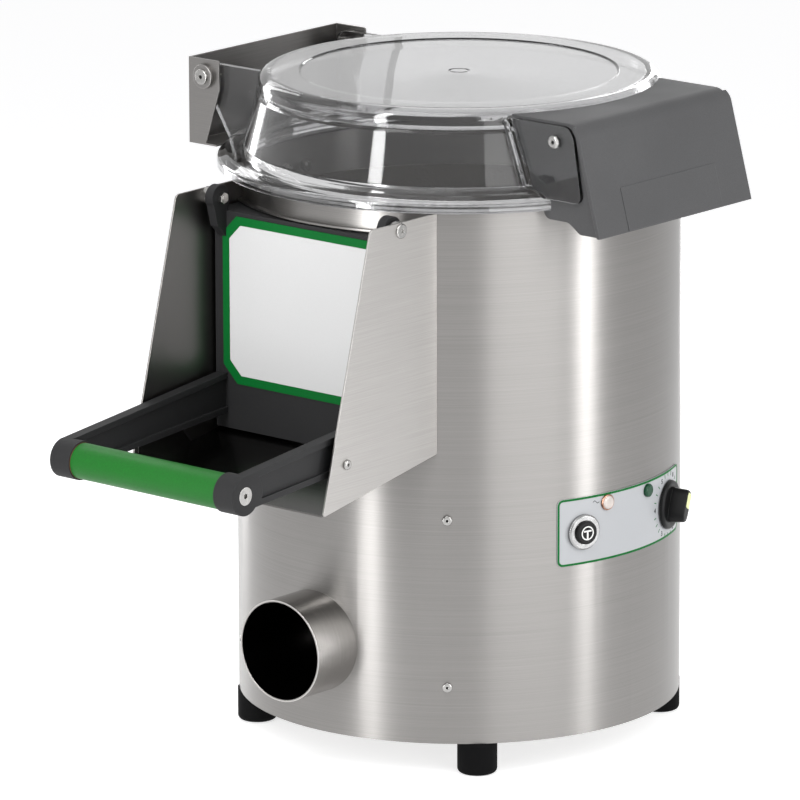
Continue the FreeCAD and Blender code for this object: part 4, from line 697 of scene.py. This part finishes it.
panel_border()
dial_ticks()
dial_numbers()
mains_mark()
start_mark()
lamp_collar()
knob()
knob_insert()


# Screws: hexagon sockets let into their heads

X = Vector((1, 0, 0))
Y = Vector((0, 1, 0))
SOCKET_DEPTH = 0.8
SOCKET_FLOOR_T = 0.1
BODY_SCREW_R = BODY_R + 1.9
BODY_SCREW_AZIMUTHS = (37, 143, 217, 323)
BODY_SCREW_HEIGHTS = {"low": 48, "high": 189}

# Centre of the head's face, where it faces, radius of the ring, hexagon across flats, body
SOCKETS = {
    "socket_door_right": ((105.9, -197, 437.3), X, 2.0, 2.9, "root"),
    "socket_door_left": ((-105.9, -197, 437.3), -X, 2.0, 2.9, "root"),
    "socket_tray_right": ((106.6, -264.5, 258), X, 1.4, 2.1, "root"),
    "socket_tray_left": ((-106.6, -264.5, 258), -X, 1.4, 2.1, "root"),
    "socket_lid_front": ((-197, -99.6, 508), -Y, 2.1, 3.1, "root"),
    "socket_lid_back": ((-197, 99.6, 508), Y, 2.1, 3.1, "root"),
    "socket_cover_front": ((182.8, -101.3, 504.5), -Y, 1.9, 2.8, "lid"),
    "socket_cover_back": ((182.8, 101.3, 504.5), Y, 1.9, 2.8, "lid"),
}
for i, azimuth in enumerate(BODY_SCREW_AZIMUTHS):
    facing = outward(azimuth)
    for level, z in BODY_SCREW_HEIGHTS.items():
        head = facing * BODY_SCREW_R + Vector((0, 0, z))
        SOCKETS["socket_body_%s_%d" % (level, i)] = (head, facing, 1.4, 2.1, "root")


def socket(name, centre, direction, radius, flats, body):
    side = Vector((0, 0, 1)).cross(direction)
    side.normalize()
    up = direction.cross(side)
    centre = Vector(centre)

    def place(u, v, w):
        p = centre + side * u + up * v + direction * (w - SOCKET_DEPTH)
        return at(p.x, p.y, p.z)
    flat_piece(name, [circle(radius), hexagon(flats)], place, SOCKET_DEPTH, "bright_steel", body,
               "bright_steel")
    # Painted shade: a dark disc at the bottom of the hexagon socket stands for the shade in the recess.
    flat_piece(name + "_floor", [hexagon(flats)], place, SOCKET_FLOOR_T, "socket_dark", body,
               "bright_steel", smooth=False)


for name, values in SOCKETS.items():
    socket(name, *values)


# Lid: a slightly raised field on the handle cover's sloping face

COVER_LOW = Vector((229.5, 0, 431.0))
COVER_HIGH = Vector((205.0, 0, 520.5))
FIELD_HALF_W = 61
FIELD_LOW = 0.6
FIELD_HIGH = 36.2
FIELD_T = 0.45


def cover_field():
    rise = COVER_HIGH - COVER_LOW
    rise.normalize()
    out = rise.cross(-Y)
    if out.x < 0:
        out = -out

    def place(u, v, w):
        p = COVER_LOW + rise * v + out * w + Y * u
        return at(p.x, p.y, p.z)
    field = [(-FIELD_HALF_W, FIELD_LOW), (FIELD_HALF_W, FIELD_LOW),
             (FIELD_HALF_W, FIELD_HIGH), (-FIELD_HALF_W, FIELD_HIGH)]
    flat_piece("cover_field", [field], place, FIELD_T, "cover_plastic", "lid", "dark_plastic", smooth=False)


cover_field()


# Stage, lights and camera

FLOOR_R = 30.0
FLOOR_Z = -0.0005
FLOOR_GLOW = (0.66, 0.66, 0.66, 1)
FLOOR_TONE = (0.7, 0.7, 0.7, 1)
SKY_LOW = (0.13, 0.13, 0.133, 1)
SKY_HIGH = (0.5, 0.5, 0.51, 1)
SKY_TOP = 0.9

# Azimuth in degrees, distance from the drum's axis, height, width, length, power in watts, height aimed at
LAMPS = {
    "strip_left": (-2.5, 1.25, 0.75, 0.15, 1.5, 11, 0.75),
    "strip_right": (103.5, 1.25, 0.75, 0.17, 1.5, 8.5, 0.75),
    "wide_middle": (72, 1.25, 0.75, 0.85, 1.5, 7.6, 0.75),
    "strip_back": (202, 1.25, 0.75, 0.2, 1.5, 5, 0.75),
    "strip_far": (264, 1.25, 0.75, 0.2, 1.5, 5, 0.75),
    "top_soft": (12, 1.3, 2.2, 1.6, 1.4, 19, 0.28),
}

# Camera, fitted to the photo: focal length in pixels of a frame 800 pixels wide, place round the
# drum's axis in degrees and metres, and turns in radians
FRAME_PX = 800
FOCAL_PX = 7418.84
SENSOR = 36.0
CAMERA_AZ = 40
CAMERA_DISTANCE = 6.0
CAMERA_Z = 1.7432
PITCH = 0.2449
YAW = -0.0082
ROLL = -0.0024


def seen_rays(tree):
    """1 for the rays that show the background: straight, mirrored and through glass."""
    paths = tree.nodes.new("ShaderNodeLightPath")
    factor = paths.outputs["Is Camera Ray"]
    for ray in ("Is Glossy Ray", "Is Transmission Ray"):
        either = tree.nodes.new("ShaderNodeMath")
        either.operation = "MAXIMUM"
        tree.links.new(factor, either.inputs[0])
        tree.links.new(paths.outputs[ray], either.inputs[1])
        factor = either.outputs[0]
    return factor


def stage_material():
    """White floor that keeps a soft shadow."""
    mat = bpy.data.materials.new("stage_white")
    mat.use_nodes = True
    tree = mat.node_tree
    tree.nodes.remove(tree.nodes["Principled BSDF"])
    glow = tree.nodes.new("ShaderNodeEmission")
    glow.inputs["Color"].default_value = FLOOR_GLOW
    plain = tree.nodes.new("ShaderNodeBsdfDiffuse")
    plain.inputs["Color"].default_value = FLOOR_TONE
    both = tree.nodes.new("ShaderNodeAddShader")
    tree.links.new(glow.outputs[0], both.inputs[0])
    tree.links.new(plain.outputs[0], both.inputs[1])
    mix = tree.nodes.new("ShaderNodeMixShader")
    tree.links.new(seen_rays(tree), mix.inputs["Fac"])
    tree.links.new(plain.outputs[0], mix.inputs[1])
    tree.links.new(both.outputs[0], mix.inputs[2])
    tree.links.new(mix.outputs[0], tree.nodes["Material Output"].inputs["Surface"])
    return mat


def backdrop():
    bm = bmesh.new()
    bmesh.ops.create_circle(bm, cap_ends=True, radius=FLOOR_R, segments=64)
    mesh = bpy.data.meshes.new("floor")
    bm.to_mesh(mesh)
    bm.free()
    obj = bpy.data.objects.new("floor", mesh)
    obj.location = (0, 0, FLOOR_Z)
    mesh.materials.append(stage_material())
    bpy.context.scene.collection.objects.link(obj)


def sky():
    """White where it shows, and a soft grey that brightens upwards where it lights."""
    world = bpy.data.worlds.new("studio")
    bpy.context.scene.world = world
    world.use_nodes = True
    tree = world.node_tree
    shade = tree.nodes["Background"]
    coords = tree.nodes.new("ShaderNodeTexCoord")
    split = tree.nodes.new("ShaderNodeSeparateXYZ")
    ramp = tree.nodes.new("ShaderNodeValToRGB")
    ramp.color_ramp.elements[0].position = 0.0
    ramp.color_ramp.elements[0].color = SKY_LOW
    ramp.color_ramp.elements[1].position = SKY_TOP
    ramp.color_ramp.elements[1].color = SKY_HIGH
    mix = tree.nodes.new("ShaderNodeMix")
    mix.data_type = "RGBA"
    colours = [i for i in mix.inputs if i.type == "RGBA"]
    colours[1].default_value = (1, 1, 1, 1)
    tree.links.new(coords.outputs["Generated"], split.inputs[0])
    tree.links.new(split.outputs["Z"], ramp.inputs["Fac"])
    tree.links.new(ramp.outputs["Color"], colours[0])
    tree.links.new(seen_rays(tree), mix.inputs["Factor"])
    tree.links.new([o for o in mix.outputs if o.type == "RGBA"][0], shade.inputs["Color"])
    shade.inputs["Strength"].default_value = 1.0


def lamp(name, azimuth, distance, height, wide, tall, power, aim):
    light = bpy.data.lights.new(name, "AREA")
    light.shape = "RECTANGLE"
    light.size = wide
    light.size_y = tall
    light.energy = power
    obj = bpy.data.objects.new(name, light)
    place = outward(azimuth) * distance + Vector((SHIFT.x, SHIFT.y, height))
    target = Vector((SHIFT.x, SHIFT.y, aim))
    obj.location = place
    obj.rotation_mode = "QUATERNION"
    obj.rotation_quaternion = (place - target).to_track_quat("Z", "Y")
    obj.visible_camera = False
    bpy.context.scene.collection.objects.link(obj)


def camera():
    data = bpy.data.cameras.new("camera")
    data.sensor_width = SENSOR
    data.lens = FOCAL_PX * SENSOR / FRAME_PX
    data.clip_start = 0.1
    data.clip_end = 100
    cam = bpy.data.objects.new("camera", data)
    bpy.context.scene.collection.objects.link(cam)
    ahead = Vector((math.sin(YAW) * math.cos(PITCH), math.cos(YAW) * math.cos(PITCH), -math.sin(PITCH)))
    level = Vector((math.cos(YAW), -math.sin(YAW), 0))
    up = level.cross(ahead)
    right = math.cos(ROLL) * level + math.sin(ROLL) * up
    up = -math.sin(ROLL) * level + math.cos(ROLL) * up
    turn = Matrix.Rotation(math.radians(CAMERA_AZ), 3, "Z")
    axes = Matrix((turn @ right, turn @ up, turn @ -ahead)).transposed()
    place = turn @ Vector((0, -CAMERA_DISTANCE, CAMERA_Z)) + SHIFT
    cam.matrix_world = Matrix.Translation(place) @ axes.to_4x4()
    bpy.context.scene.camera = cam


backdrop()
sky()
for name, values in LAMPS.items():
    lamp(name, *values)
camera()
bpy.context.scene.view_settings.view_transform = "Standard"
